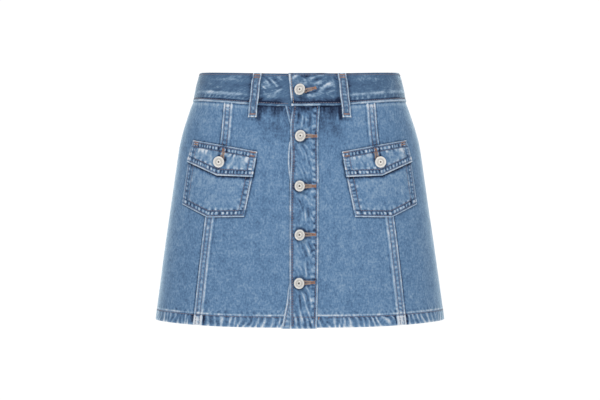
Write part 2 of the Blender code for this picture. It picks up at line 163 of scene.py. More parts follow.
def drift(u: Number, v: Number, seed: int) -> Array:
    """Smooth uneven value from -1 to 1 over a plane, with hills about one unit apart.

    Args:
        u: first coordinate.
        v: second coordinate.
        seed: number of the pattern.

    Returns:
        The value at each place.
    """
    table = np.random.default_rng(seed).uniform(-1.0, 1.0, DRIFT_TABLE)
    u, v = np.broadcast_arrays(np.asarray(u, float), np.asarray(v, float))
    column, row = np.floor(u).astype(int), np.floor(v).astype(int)
    fu, fv = ease(u - column), ease(v - row)
    (near, low), (far, high) = (
        ((column + step) % DRIFT_TABLE[0], (row + step) % DRIFT_TABLE[1]) for step in (0, 1)
    )
    bottom = table[near, low] * (1.0 - fu) + table[far, low] * fu
    top = table[near, high] * (1.0 - fu) + table[far, high] * fu
    return bottom * (1.0 - fv) + top * fv


def ripples(along: Array, pitch: float, seed: int, lane: Number = 0.0) -> Array:
    """Uneven ripples along a seam, from -1 to 1.

    Args:
        along: distance along the seam.
        pitch: mean distance from one ripple to the next.
        seed: number of the pattern.
        lane: position across the seam in ripple widths, where the pattern may change.

    Returns:
        The ripple at each place.
    """
    wander = 0.55 * drift(along / (pitch * 2.3), lane, seed)
    size = 0.68 + 0.32 * drift(along / (pitch * 1.6), lane, seed + 1)
    return np.cos(math.tau * (along / pitch + wander)) * size


def blocks(along: Array, pitch: float, seed: int, lane: Number = 0.0) -> Array:
    """Ripples with steep sides, for light and dark patches, with the arguments of ripples."""
    uneven = 0.5 * drift(along / (pitch * 0.6), lane, seed + 2)
    return np.tanh(2.1 * (ripples(along, pitch, seed, lane) + uneven))


def veins(u: Array, v: Array, seed: int) -> Array:
    """Thin crooked lines between the hills of a plane, 1 on a line and 0 away from it."""
    return (1.0 - np.abs(drift(u, v, seed))) ** 6


class Curve:
    """Smooth curve through the rows of a short table, read at any height."""

    def __init__(self, *rows: Pair) -> None:
        """Keeps the rows and the slope at each.

        Args:
            rows: heights and values, highest first.
        """
        self.heights, self.values = np.array(rows, float).T
        places = np.arange(len(rows))
        low, high = np.maximum(places - 1, 0), np.minimum(places + 1, len(rows) - 1)
        self.slopes = (self.values[high] - self.values[low]) / (self.heights[high] - self.heights[low])

    def __call__(self, z: Number) -> Array:
        """Reads the curve.

        Args:
            z: heights.

        Returns:
            The value at each height.
        """
        z = np.asarray(z, float)
        index = np.clip(np.searchsorted(-self.heights, -z) - 1, 0, len(self.heights) - 2)
        width = self.heights[index + 1] - self.heights[index]
        share = np.clip((z - self.heights[index]) / width, 0.0, 1.0)
        curve = ease(share) * (self.values[index + 1] - self.values[index])
        curve += share * (1.0 - share) ** 2 * self.slopes[index] * width
        curve -= share * share * (1.0 - share) * self.slopes[index + 1] * width
        return self.values[index] + curve


def read_columns(table: Sequence[tuple[float, ...]]) -> list[Curve]:
    """Curves of a table's later columns over its first, which is the height."""
    return [Curve(*((row[0], row[column]) for row in table)) for column in range(1, len(table[0]))]


def grid_shares(length: float, spacing: float) -> Array:
    """Spaces grid lines over a length, closer together at its rounded ends.

    Args:
        length: the length.
        spacing: rough distance between the lines.

    Returns:
        Shares of the length, from 0 to 1.
    """
    first = EDGE_STEPS[-1]
    count = max(int(round((length - 2.0 * first) / spacing)), 2)
    ends = np.array([0.0, *EDGE_STEPS[:-1]])
    middle = np.linspace(first, length - first, count + 1)
    return np.concatenate((ends, middle, (length - ends)[::-1])) / length


# ---- body form

# Height, half width, and depth before and behind the side seams
BODY_SECTIONS = (
    (20.0, 131.3, 88.0, 93.0),
    (0.0, 136.7, 91.5, 96.5),
    (-18.5, 140.4, 95.0, 100.0),
    (-30.0, 144.8, 97.2, 103.5),
    (-45.0, 149.8, 100.0, 107.5),
    (-60.0, 154.5, 102.2, 111.5),
    (-80.0, 159.2, 105.0, 116.0),
    (-118.0, 164.6, 108.5, 122.0),
    (-161.0, 171.0, 111.5, 126.5),
    (-203.0, 177.2, 114.5, 129.8),
    (-246.0, 183.2, 118.0, 132.5),
    (-288.0, 188.8, 121.5, 135.0),
    (-313.0, 191.8, 123.8, 136.5),
)


class BodyForm:
    """Smooth form that the garment is laid on: superelliptic sections, read between levels."""

    squareness = 2.3
    turn_step = 0.001
    rim_side_z = 17.9
    rim_front_dip = 5.5
    rim_back_rise = 2.5
    waist_side_z = -20.2
    waist_front_dip = 10.2
    waist_back_rise = 1.5
    hem_side_z = -307.6
    hem_front_dip = 4.2
    arc_level = -160.0

    def __init__(self) -> None:
        """Reads the sections and measures the way round one level."""
        self.half_width, self.front_depth, self.back_depth = read_columns(BODY_SECTIONS)
        self._turns = np.linspace(-math.tau, 2.0 * math.tau, 2161)
        steps = np.linalg.norm(np.diff(self.point(self._turns, self.arc_level), axis=0), axis=1)
        arcs = np.concatenate(([0.0], np.cumsum(steps)))
        self._arcs = arcs - np.interp(0.0, self._turns, arcs)

    def point(self, turn: Number, z: Number) -> Array:
        """Finds places on the outer face of the skirt's cloth.

        Args:
            turn: turns, 0 in front and growing to the left.
            z: heights.

        Returns:
            The points.
        """
        turn, z = np.broadcast_arrays(np.asarray(turn, float), np.asarray(z, float))
        side, front = np.sin(turn), np.cos(turn)
        power = self.squareness
        reach = (np.abs(side) ** power + np.abs(front) ** power) ** (-1.0 / power)
        depth = np.where(front > 0.0, self.front_depth(z), self.back_depth(z))
        return np.stack((self.half_width(z) * side * reach, -depth * front * reach, z), axis=-1)

    def normal(self, turn: Number, z: Number) -> Array:
        """Finds the outward normals of the form.

        Args:
            turn: turns.
            z: heights.

        Returns:
            The unit normals.
        """
        along = self.point(turn + self.turn_step, z) - self.point(turn - self.turn_step, z)
        normal = np.cross(along, self.point(turn, z + 1.0) - self.point(turn, z - 1.0))
        return normal / np.linalg.norm(normal, axis=-1, keepdims=True)

    def turn_at(self, x: Number, z: Number) -> Array:
        """Turn at which the front of the form has this x."""
        share = np.clip(np.asarray(x, float) / self.half_width(z), -0.999999, 0.999999)
        return np.arctan2(share, (1.0 - np.abs(share) ** self.squareness) ** (1.0 / self.squareness))

    def span(self, turn: Number, z: Number) -> Array:
        """Cloth covered by one radian of turn."""
        ends = self.point(turn + self.turn_step, z) - self.point(turn - self.turn_step, z)
        return np.linalg.norm(ends, axis=-1) / (2.0 * self.turn_step)

    def nudge(self, turn: Number, z: Number, distance: Number) -> Array:
        """Turn moved by a distance along the cloth."""
        return turn + distance / self.span(turn, z)

    def arc(self, turn: Array, z: Number) -> Array:
        """Distance round the form from the centre front, about true at every level."""
        return np.interp(turn, self._turns, self._arcs) * self.half_width(z) / self.half_width(self.arc_level)

    def rim_z(self, turn: Number) -> Array:
        """Height of the waistband's top edge."""
        front = np.cos(turn)
        return self.rim_side_z + np.where(front > 0.0, -self.rim_front_dip, self.rim_back_rise) * front ** 2

    def waist_z(self, turn: Number) -> Array:
        """Finds the height of the waistband's lower edge.

        Args:
            turn: turns.

        Returns:
            The heights.
        """
        front = np.cos(turn)
        dip = np.where(front > 0.0, -self.waist_front_dip * front, self.waist_back_rise)
        return self.waist_side_z + dip * front ** 2

    def hem_z(self, turn: Number) -> Array:
        """Height of the skirt's hem."""
        return self.hem_side_z - self.hem_front_dip * smooth(0.0, 1.0, np.cos(turn) ** 2)


FORM = BodyForm()


class UprightLine(Curve):
    """Seam or edge that runs down the front: height, and x in the front view."""

    def turn(self, z: Number, shift: Number = 0.0, sign: float = 1.0) -> Array:
        """Turn at a height, moved along the cloth by shift; a sign of -1 mirrors the line first."""
        return FORM.nudge(FORM.turn_at(sign * self(z), z), z, shift)

    def at(self, shift: float, sign: float = 1.0) -> Edge:
        """Edge that runs beside the line."""
        return lambda z: self.turn(z, shift, sign)


def meridian(turn: float, shift: float) -> Edge:
    """Edge that runs down the form beside one turn."""
    return lambda z: FORM.nudge(turn, z, shift)


PRINCESS_SEAM = UprightLine((-20.0, 91.2), (-77.0, 96.0), (-125.0, 105.4), (-175.0, 115.4), (-313.0, 131.4))
FREE_EDGE = UprightLine(
    (-28.0, -7.8), (-56.0, -11.2), (-95.0, -10.0), (-132.5, -11.6), (-240.0, -12.0), (-313.0, -11.5),
)
SEWN_EDGE = UprightLine((-28.0, 25.2), (-68.0, 23.0), (-132.0, 23.3), (-255.0, 22.4), (-313.0, 20.8))
UNDER_SEAM = UprightLine(
    (-28.0, -18.0), (-54.0, -12.3), (-70.0, -12.0), (-86.0, -13.8), (-102.0, -14.4), (-120.0, -13.0),
    (-150.0, -12.4), (-250.0, -12.6), (-264.0, -14.2), (-280.0, -16.0), (-313.0, -22.5),
)


# ---- finishes

class Wire:
    """Output of a shader node, with Python's sums written as Math nodes."""

    def __init__(self, tree: bpy.types.NodeTree, socket: bpy.types.NodeSocket) -> None:
        """Holds a socket and its tree."""
        self.tree, self.socket = tree, socket

    def node(self, kind: str, out: str | int = 0, inputs: dict | None = None, **settings) -> "Wire":
        """Adds any node.

        Args:
            kind: the node's type.
            out: name or number of the output that is wanted.
            inputs: values or wires for its sockets, by name or number.
            settings: properties that are set first.

        Returns:
            The wanted output.
        """
        added = self.tree.nodes.new(kind)
        for name, value in settings.items():
            setattr(added, name, value)
        self.feed(added, inputs or {})
        return Wire(self.tree, added.outputs[out])

    def feed(self, node: bpy.types.Node, inputs: dict) -> None:
        """Fills the sockets of a node.

        Args:
            node: the node.
            inputs: wires to link and values to set, by the socket's name or number.
        """
        for name, value in inputs.items():
            if isinstance(value, Wire):
                self.tree.links.new(value.socket, node.inputs[name])
            else:
                node.inputs[name].default_value = value

    def math(self, operation: str, *values: "Wire | float") -> "Wire":
        """Math node with this wire as its first value."""
        return self.node("ShaderNodeMath", inputs=dict(enumerate((self, *values))), operation=operation)

    def __add__(self, other: "Wire | float") -> "Wire":
        """Sum."""
        return self.math("ADD", other)

    def __sub__(self, other: "Wire | float") -> "Wire":
        """Difference."""
        return self.math("SUBTRACT", other)

    def __mul__(self, other: "Wire | float") -> "Wire":
        """Product."""
        return self.math("MULTIPLY", other)

    def __rsub__(self, other: float) -> "Wire":
        """Difference from a number."""
        return self.node("ShaderNodeMath", inputs={0: other, 1: self}, operation="SUBTRACT")

    __radd__, __rmul__ = __add__, __mul__

    def attribute(self, name: str) -> "Wire":
        """Number that the mesh carries at each point."""
        return self.node("ShaderNodeAttribute", "Fac", attribute_name=name)

    def grain(self, scale: float, detail: float) -> "Wire":
        """Even noise through the piece."""
        place = self.node("ShaderNodeTexCoord", "Object")
        return self.node("ShaderNodeTexNoise", inputs={"Vector": place, "Scale": scale, "Detail": detail})

    def bump(self, strength: float, distance: float) -> "Wire":
        """Bump whose height is this wire."""
        inputs = {"Strength": strength, "Distance": distance, "Height": self}
        return self.node("ShaderNodeBump", inputs=inputs)

    def blend(self, first: "Wire | Colour", second: "Wire | Colour") -> "Wire":
        """Colour from first to second as this wire goes from 0 to 1."""
        return self.node("ShaderNodeMix", 2, {0: self, 6: first, 7: second}, data_type="RGBA")

    def ramp(self, *stops: tuple[float, Colour]) -> "Wire":
        """Reads a colour ramp at this wire.

        Args:
            stops: places and colours of the ramp.

        Returns:
            The colour.
        """
        result = self.node("ShaderNodeValToRGB", inputs={0: self})
        elements = result.socket.node.color_ramp.elements
        while len(elements) < len(stops):
            elements.new(0.5)
        for element, (place, colour) in zip(elements, stops):
            element.position, element.color = place, colour
        return result


def srgb(*channels: int) -> Colour:
    """Linear colour from screen values of 0 to 255."""
    values = (channel / 255.0 for channel in channels)
    return (*(v / 12.92 if v <= 0.04045 else ((v + 0.055) / 1.055) ** 2.4 for v in values), 1.0)


@dataclass(frozen=True)
class Finish:
    """Base of every finish."""

    name: str

    def sockets(self, uv: Wire) -> dict:
        """What feeds the shader's sockets, from the UV map."""
        raise NotImplementedError

    def build(self) -> Material:
        """Makes the material.

        Returns:
            The material, with its nodes.
        """
        material = bpy.data.materials.new(self.name)
        material.use_nodes = True
        tree = material.node_tree
        uv = Wire(tree, None).node("ShaderNodeUVMap", uv_map="cloth")
        uv.feed(tree.nodes["Principled BSDF"], self.sockets(uv))
        return material


@dataclass(frozen=True)
class Denim(Finish):
    """Stone-washed indigo twill: pale where it is rubbed, dark in its valleys and where shade is painted,
    pale inside.

    A noise has its scale across the cloth, its scale down the cloth, and its detail.
    """

    deep: Colour = srgb(24, 38, 66)
    dark: Colour = srgb(66, 92, 125)
    cloth: Colour = srgb(100, 136, 174)
    worn: Colour = srgb(150, 175, 200)
    pale: Colour = srgb(214, 222, 232)
    reverse: Colour = srgb(150, 166, 184)
    fuzz: Colour = (0.74, 0.90, 1.0, 1.0)
    roughness: float = 0.86
    twill_pitch: float = 0.62 * MM
    relief: float = 0.22 * MM
    noises: tuple[tuple[float, ...], ...] = (
        (1150.0, 260.0, 2.0), (190.0, 1000.0, 1.0), (400.0, 300.0, 3.0), (120.0, 90.0, 3.0),
    )

    def sockets(self, uv: Wire) -> dict:
        """Twill, slubs and washed clouds over the wear and painted shade that each piece carries.

        Args:
            uv: the piece's own UV map.

        Returns:
            Wires and values for the shader's sockets.
        """
        across = uv.node("ShaderNodeSeparateXYZ", inputs={0: uv})
        down = Wire(uv.tree, across.socket.node.outputs[1])
        twill = (across * (2.4 / self.twill_pitch) + down * (5.8 / self.twill_pitch)).math("SINE")
        slub, weft, grain, cloud = (
            uv.node("ShaderNodeTexNoise", noise_dimensions="2D", inputs={
                "Vector": uv.node("ShaderNodeCombineXYZ", inputs={0: across * wide, 1: down * high}),
                "Scale": 1.0, "Detail": detail, "Roughness": 0.55,
            }) for wide, high, detail in self.noises
        )
        tone = uv.attribute("wear") * 0.5 + 0.5 + (slub - 0.5) * 0.18 + (weft - 0.5) * 0.12
        tone = tone + (grain - 0.5) * 0.44 + (cloud - 0.5) * 0.26 + twill * 0.020
        shades = (self.deep, self.dark, self.cloth, self.worn, self.pale)
        colour = tone.ramp(*zip((0.0, 0.26, 0.5, 0.74, 1.0), shades))
        lining = (slub * 0.5 + grain * 0.5).blend(self.reverse, self.pale)
        height = twill * 0.16 + slub * 0.45 + weft * 0.2 + grain * 0.35
        return {
            "Base Color": uv.attribute("inside").blend(colour, lining),
            "Roughness": grain * 0.10 + (self.roughness - 0.05),
            "Normal": height.bump(0.75, self.relief),
            "Specular IOR Level": 0.22,
            "Sheen Weight": 0.95,
            "Sheen Roughness": 0.3,
            "Sheen Tint": self.fuzz,
        }


@dataclass(frozen=True)
class SewingThread(Finish):
    """Twisted polyester thread."""

    dark: Colour
    light: Colour
    roughness: float = 0.62
    relief: float = 0.08 * MM

    def sockets(self, uv: Wire) -> dict:
        """Fine fibres, and slow change from stitch to stitch.

        Args:
            uv: the piece's own UV map.

        Returns:
            Wires and values for the shader's sockets.
        """
        fibre, patch = uv.grain(2200.0, 2.0), uv.grain(160.0, 1.0)
        return {
            "Base Color": (fibre * 0.6 + patch * 0.9 - 0.25).blend(self.dark, self.light),
            "Normal": fibre.bump(0.6, self.relief),
            "Roughness": self.roughness,
            "Sheen Weight": 0.15,
        }


@dataclass(frozen=True)
class ButtonMetal(Finish):
    """Pale nickel with a soft matt grain, darker where polish doesn't reach and where shade is painted round
    its edge.
    """

    bright: Colour = srgb(240, 237, 232)
    dull: Colour = srgb(84, 80, 78)
    roughness: float = 0.38
    relief: float = 0.05 * MM

    def sockets(self, uv: Wire) -> dict:
        """Bright raised metal, dull recesses and painted shade round the edge.

        Args:
            uv: the piece's own UV map.

        Returns:
            Wires and values for the shader's sockets.
        """
        recess, grain = uv.attribute("recess"), uv.grain(900.0, 3.0)
        dullness = (recess * (grain * 0.9 + 0.45)).math("MINIMUM", 1.0)
        return {
            "Base Color": dullness.blend(self.bright, self.dull),
            "Roughness": grain * 0.16 + recess * 0.2 + (self.roughness - 0.08),
            "Normal": grain.bump(0.3, self.relief),
            "Metallic": 0.25,
        }


# ---- laid cloth

class Crease(NamedTuple):
    """Soft fold between two places of the front view, bowed to its left side."""

    x0: float
    z0: float
    x1: float
    z1: float
    bow: float
    width: float
    height: float
    wear: float


@dataclass
class Lay:
    """Cloth laid out in rows and columns over a form.

    Rows run down and columns to the wearer's left. A piece for the wearer's right is laid out
    on the left and turned over when it is made.
    """

    turn: Array
    z: Array
    base: float
    wall: float
    side: Side = Side.LEFT
    edge_radius: float = 0.9
    edge_drop: float | None = None
    cross_grain: bool = False
    form: BodyForm = FORM

    def __post_init__(self) -> None:
        """Measures the laid cloth and starts it flat and evenly worn."""
        self.lift, self.under, self.wear = (np.zeros_like(self.turn) for _ in range(3))
        sign = float(self.side.value)
        places = self.form.point(sign * self.turn, self.z)
        self.x = sign * places[..., 0]
        self.arc = self.form.arc(self.turn, self.z)
        self.below = FORM.waist_z(self.turn) - self.z
        self.above = self.z - FORM.hem_z(self.turn)
        self.front = np.cos(self.turn) > 0.0
        across, down = (np.linalg.norm(np.diff(places, axis=axis), axis=-1) for axis in (1, 0))
        self.across = np.pad(np.cumsum(across, axis=1), ((0, 0), (1, 0)))
        self.down = np.pad(np.cumsum(down, axis=0), ((1, 0), (0, 0)))
        area = 0.25 * (across[1:] + across[:-1]) * (down[:, 1:] + down[:, :-1])
        width, length = self.across[:, -1].max() * MM, self.down[-1].max() * MM
        area = float(area.sum()) * MM * MM
        self.cut = (float(width), float(max(length, area / width)), area)

    @property
    def edge_distances(self) -> tuple[Array, Array, Array, Array]:
        """Distances to the left, right, top and bottom edges."""
        return self.across, self.across[:, -1:] - self.across, self.down, self.down[-1:, :] - self.down

    def past(self, turn: Number) -> Array:
        """Cloth distance of each place past a turn, growing to the left."""
        return (self.turn - turn) * FORM.span(self.turn, self.z)

    def off_path(self, path: Path) -> Array:
        """Measures the distance from a path of straight stretches in the front view.

        Args:
            path: corners of the path.

        Returns:
            The distance of each place.
        """
        gaps = []
        for (x, z), (end_x, end_z) in zip(path, path[1:]):
            way_x, way_z = end_x - x, end_z - z
            share = ((self.x - x) * way_x + (self.z - z) * way_z) / (way_x ** 2 + way_z ** 2)
            share = np.clip(share, 0.0, 1.0)
            gaps.append(np.hypot(self.x - x - share * way_x, self.z - z - share * way_z))
        return np.minimum.reduce(gaps)

    def press(self, shape: Array, height: float, wear: Number) -> None:
        """Adds a relief: its height, and its wear with any painted shade, both where shape is 1."""
        self.lift += shape * height
        self.wear += shape * wear

    def line(
        self, gap: Array, place: float, width: Number, height: float, wear: Number, shown: Number = 1.0,
    ) -> None:
        """Adds a ridge, or a groove, where gap, a distance from a seam or an edge, equals place."""
        self.press(hump(gap - place, width) * shown, height, wear)

    def raise_all(self, rise: Number) -> None:
        """Lifts both faces."""
        self.lift += rise
        self.under += rise

    def crease(self, creases: Sequence[Crease], seed: int, flip: float = 1.0, shown: Number = 1.0) -> None:
        """Adds soft folds.

        Args:
            creases: the folds, placed in the front view.
            seed: number of the unevenness along them.
            flip: -1 where the table was written for the other side.
            shown: 0 where the folds are left out.
        """
        for number, fold in enumerate(creases):
            length = math.hypot(fold.x1 - fold.x0, fold.z1 - fold.z0)
            way_x, way_z = (fold.x1 - fold.x0) / length, (fold.z1 - fold.z0) / length
            dx, dz = self.x * flip - fold.x0, self.z - fold.z0
            along = (dx * way_x + dz * way_z) / length
            aside = dz * way_x - dx * way_z - fold.bow * 4.0 * along * (1.0 - along)
            inside = np.clip(along, 0.0, 1.0)
            taper = np.sin(math.pi * np.clip(inside * 0.94 + 0.03, 0.0, 1.0)) ** 0.7
            taper = taper * fade(0.0, 0.12, np.abs(along - inside))
            uneven = 0.85 + 0.3 * drift(along * length / 5.0, number, seed)
            self.line(aside, 0.0, fold.width, fold.height, fold.wear, taper * uneven * shown)

    def shell(self, name: str) -> Piece:
        """Makes a closed shell of the laid cloth, with rounded edges.

        Args:
            name: the piece's name.

        Returns:
            The new object, with the UV map "cloth" in metres and its wear and painted shade as attributes.
        """
        sign = float(self.side.value)
        turn, z = sign * self.turn, self.z
        places, normals = self.form.point(turn, z), self.form.normal(turn, z)
        edge = np.minimum.reduce(self.edge_distances)
        fall = 1.0 - np.sqrt(1.0 - (1.0 - np.clip(edge / self.edge_radius, 0.0, 1.0)) ** 2)
        drop = self.wall / 2.0 if self.edge_drop is None else self.edge_drop
        outer_lift = self.base + self.lift - drop * fall
        inner_lift = self.base + self.under - self.wall
        inner_lift = inner_lift + (self.base + self.lift - drop - inner_lift) * fall
        grids = [places + normals * lift[..., None] for lift in (outer_lift, inner_lift)]
        grids.append(np.stack((z, sign * self.arc) if self.cross_grain else (sign * self.arc, z), axis=-1))
        outer, inner, cloth = (grid[:, ::self.side.value] * MM for grid in grids)
        wear = self.wear[:, ::self.side.value]
        # Both faces share the points of the rim, so the inner face adds only its core
        rows, columns = turn.shape
        core = (slice(1, -1), slice(1, -1))
        index = np.arange(rows * columns).reshape(rows, columns)
        back = index.copy()
        back[core] = rows * columns + np.arange((rows - 2) * (columns - 2)).reshape(rows - 2, -1)
        points, spots = (
            np.concatenate((first.reshape(-1, size), second[core].reshape(-1, size)))
            for first, second, size in ((outer, inner, 3), (cloth, cloth, 2))
        )
        quads = (
            np.stack((grid[:-1, :-1], grid[1:, :-1], grid[1:, 1:], grid[:-1, 1:]), axis=-1).reshape(-1, 4)
            for grid in (index, back)
        )
        faces = np.concatenate([face[:, ::way] for face, way in zip(quads, (1, -1))])
        mesh = bpy.data.meshes.new(name)
        mesh.from_pydata(points.tolist(), [], faces.tolist())
        layer = mesh.uv_layers.new(name="cloth")
        layer.data.foreach_set("uv", spots[faces.ravel()].ravel().astype(np.float32))
        worn = np.concatenate((wear.ravel(), wear[core].ravel()))
        # The wear attribute holds painted shade as well as rubbing
        for label, values in (("wear", worn), ("inside", np.arange(len(points)) >= rows * columns)):
            attribute = mesh.attributes.new(label, "FLOAT", "POINT")
            attribute.data.foreach_set("value", values.astype(np.float32))
        return new_piece(name, mesh)


def new_piece(name: str, mesh: bpy.types.Mesh) -> Piece:
    """Makes an object of a finished mesh, shaded smooth, at the origin.

    Args:
        name: its name.
        mesh: the mesh.

    Returns:
        The object.
    """
    mesh.shade_smooth()
    piece = bpy.data.objects.new(name, mesh)
    bpy.context.scene.collection.objects.link(piece)
    return piece


def dress(piece: Piece, material: Material, slot: Slot, *replaced: str) -> None:
    """Gives a piece its finish and its place in the frame.

    Args:
        piece: the piece.
        material: its finish.
        slot: its slot in the record, not used.
        replaced: nodes that it stands for.
    """
    piece.data.materials.clear()
    piece.data.materials.append(material)
    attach(piece, BODY_NAME)
    if replaced:
        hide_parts(*replaced)


def make_sheet(
    name: str, lay: Lay, material: Material, *rests_on: str, slot: Slot = Slot.DENIM, held: Held = Held.HUNG,
) -> Piece:
    """Makes a laid piece of cloth, stands it for its node and states its cut.

    Args:
        name: the node's name; the piece is called name_cloth.
        lay: the laid cloth.
        material: its finish.
        rests_on: nodes that it lies on or hangs from, not used.
        slot: its slot in the record.
        held: how it is held, not used.

    Returns:
        The new piece.
    """
    piece = lay.shell(f"{name}_cloth")
    dress(piece, material, slot, name)
    width, length, area = lay.cut
    log.info("%s: %.0f x %.0f mm, %.0f cm2", name, width / MM, length / MM, area * 10000.0)
    return piece


def upright(left: Edge, right: Edge, width: float, spacing: Pair, drop: float = 0.0) -> Places:
    """Grid between two upright edges, from just under the waistband to the hem.

    Args:
        left: turn of the left edge at a height.
        right: turn of the right edge at a height.
        width: rough width, for the number of columns.
        spacing: distance between rows, and between columns.
        drop: how far the grid hangs below the hem.

    Returns:
        Turns and heights of the grid.
    """
    rows, columns = grid_shares(SKIRT_LENGTH, spacing[0]), grid_shares(width, spacing[1])
    down, over = np.meshgrid(rows, columns, indexing="ij")

    def height(turn: Array) -> Array:
        """Height of each place at its turn."""
        top = FORM.waist_z(turn) + 1.0
        return top + (FORM.hem_z(turn) - drop - top) * down

    z = height(np.zeros_like(down))
    for _ in range(5):
        turn = left(z) + (right(z) - left(z)) * over
        z = height(turn)
    return turn, z


class Buttonhole(NamedTuple):
    """Button's place, the ends of its hole, the dent that they leave in the cloth, and the painted shadow
    round them.

    A dent has a width, a height and a wear; a ring and a shade, both painted shadow, have a distance, a width
    and a wear. The slit is painted dark as shade.
    """

    button: Pair
    start: Pair
    end: Pair
    dent: tuple[float, float, float] = (7.0, -0.30, 0.0)
    ring: tuple[float, float, float] = (8.0, 1.5, -0.42)
    slit_wear: float = -0.9
    shade: tuple[float, float, float] = (3.9, 1.2, -0.46)

    def press(self, lay: Lay, shown: Number = 1.0) -> None:
        """Dents the cloth round the button and its hole, and paints shadow round the button, in the slit and
        beside it.

        Args:
            lay: the laid cloth.
            shown: 0 where it is left alone.
        """
        away = np.hypot(lay.x - self.button[0], lay.z - self.button[1])
        slit = lay.off_path((self.start, self.end))
        lay.line(away, 0.0, *self.dent, shown)
        # Painted shadow: a dark ring round the button, the dark slit and a dark line beside the slit
        lay.line(away, *self.ring[:2], 0.0, self.ring[2], shown)
        lay.line(slit, 0.0, 0.7, -0.5, self.slit_wear, shown)
        lay.line(slit, *self.shade[:2], 0.10, self.shade[2], shown)

    def axes(self) -> tuple[Vector, Vector, Vector]:
        """Measures the hole in the front view.

        Returns:
            Its start, the way to its end, and the unit direction across it.
        """
        start = Vector(self.start)
        way = Vector(self.end) - start
        return start, way, Vector((-way.y, way.x)).normalized()


WAIST_HOLE = Buttonhole((0.5, -11.2), (5.5, -11.2), (20.4, -7.0), ring=(8.4, 1.7, -0.50))
FRONT_HOLES = (
    Buttonhole((1.3, -68.6), (6.3, -68.6), (21.6, -68.6)),
    Buttonhole((0.5, -132.4), (5.5, -132.4), (20.2, -132.4)),
    Buttonhole((0.5, -194.0), (5.5, -194.0), (20.2, -194.0)),
    Buttonhole((-0.3, -255.2), (4.7, -255.2), (18.6, -254.8)),
)
FLAP_HOLE = Buttonhole(
    (101.2, -101.8), (97.6, -97.2), (97.0, -85.0),
    dent=(8.0, -0.6, -0.10), ring=(7.8, 1.6, -0.40), slit_wear=-0.7, shade=(4.2, 1.5, -0.70),
)


# ---- pocket and flap outlines

class Outline:
    """Straight-sided edge in the front view, read from its inner to its outer end."""

    def __init__(self, *corners: Pair) -> None:
        """Keeps the corners as x and z."""
        self.corners = corners
        self.x, self.z = np.array(corners).T

    def at(self, share: Array) -> Places:
        """Places at shares of the edge's width."""
        x = self.x[0] + (self.x[-1] - self.x[0]) * share
        return x, np.interp(x, self.x, self.z)

    def around(self, other: "Outline") -> Path:
        """Path from one end of the other edge, along this one, to the other end of the other."""
        return other.corners[0], *self.corners, other.corners[-1]


POCKET_TOP = Outline((55.7, -100.7), (141.5, -84.1))
POCKET_BOTTOM = Outline((70.5, -171.6), (117.7, -172.4), (151.3, -155.6))
FLAP_TOP = Outline((53.7, -88.5), (137.4, -72.6))
FLAP_BOTTOM = Outline((59.0, -121.0), (104.4, -119.0), (143.2, -100.8))


# ---- skirt

@dataclass(frozen=True)
class Fell:
    """Felled seam: a folded edge lapped over the next panel and sewn down with two rows."""

    seed: int
    hem_wear: float = 0.80
    half_width: float = 6.3
    rise: float = 1.35
    row: float = 2.8
    pitch: float = 6.4

    def press(self, lay: Lay, past: Array, shown: Number = 1.0) -> None:
        """Shapes a lay at its felled seam, paler at both ends.

        Args:
            lay: the upper panel, which reaches half_width past the seam line.
            past: distance past the seam line, growing over the lower panel.
            shown: 0 where another piece lies over the seam.
        """
        gap, along, half = np.abs(past), -lay.z, self.half_width
        lay.lift += np.where(past > 0.0, 1.0, fade(half - 0.5, half + 0.9, gap)) * shown * self.rise
        lay.under += smooth(-0.5, 0.0, past) * shown * self.rise
        ends = 0.28 * fade(7.0, 13.0, lay.below) + self.hem_wear * fade(11.0, 13.5, lay.above)
        lay.press(smooth(-0.3, 0.3, half - gap) * (0.14 * shown + ends), 0.0, 1.0)
        middle = fade(self.row - 1.0, self.row - 0.2, gap) * shown
        lay.press(middle * ripples(along, self.pitch, self.seed, past / 5.0), 0.26, 0.46)
        lay.press(middle, -0.05, 0.06)
        lay.line(gap, self.row, 0.85, -0.32, -0.44, (1.0 - 0.7 * ends) * shown)
        uneven = 0.78 + 0.35 * drift(along / 5.0, 3.0, self.seed + 5)
        lay.line(gap, half - 1.0, 1.15, 0.14, 0.78, uneven * shown)
        # Painted shadow on the panel just outside the strip, on the side away from its fold
        lay.line(-past, half + 1.6, 1.2, -0.06, -0.26, shown)
        # Painted shade on the strip just above the flap's top edge
        lay.line(lay.z, -79.0, 8.0, 0.0, -0.40, (gap < half) * shown)
        flow = ripples(along, self.pitch * 1.3, self.seed + 7, past / 9.0)
        near = smooth(half, half + 2.0, -past) * fade(half + 3.0, half + 9.0, -past)
        lay.press(near * flow * shown, 0.10, 0.10)


SKIRT_CREASES = tuple(Crease(*row) for row in (
    (-51, -27, -53, -46, 0.6, 1.4, 0.22, 0.30), (-40, -28, -42, -43, 0.5, 1.2, 0.18, 0.24),
    (-24, -28, -24.5, -54, 0.5, 1.3, 0.20, 0.26), (-48, -44, -17, -74, 3, 6, -0.50, -0.12),
    (-84, -30, -70, -66, 2, 5, -0.40, -0.08), (-140, -26, -120, -70, 3, 6, 0.45, 0.08),
    (-40, -150, -22, -262, 4, 8, -0.60, -0.06), (-152, -190, -148, -286, -4, 8, -0.60, -0.08),
    (34, -27, 33, -42, 0.4, 1.2, 0.20, 0.26), (48, -28, 50, -52, -0.6, 1.4, 0.22, 0.28),
    (40, -46, 62, -78, -3, 6, -0.50, -0.12), (70, -28, 84, -62, -2, 5, 0.40, 0.08),
    (128, -28, 146, -74, -3, 6, -0.45, -0.08), (58, -176, 46, -280, 4, 8, 0.55, 0.06),
    (150, -180, 158, -270, 4, 8, 0.55, 0.06),
))


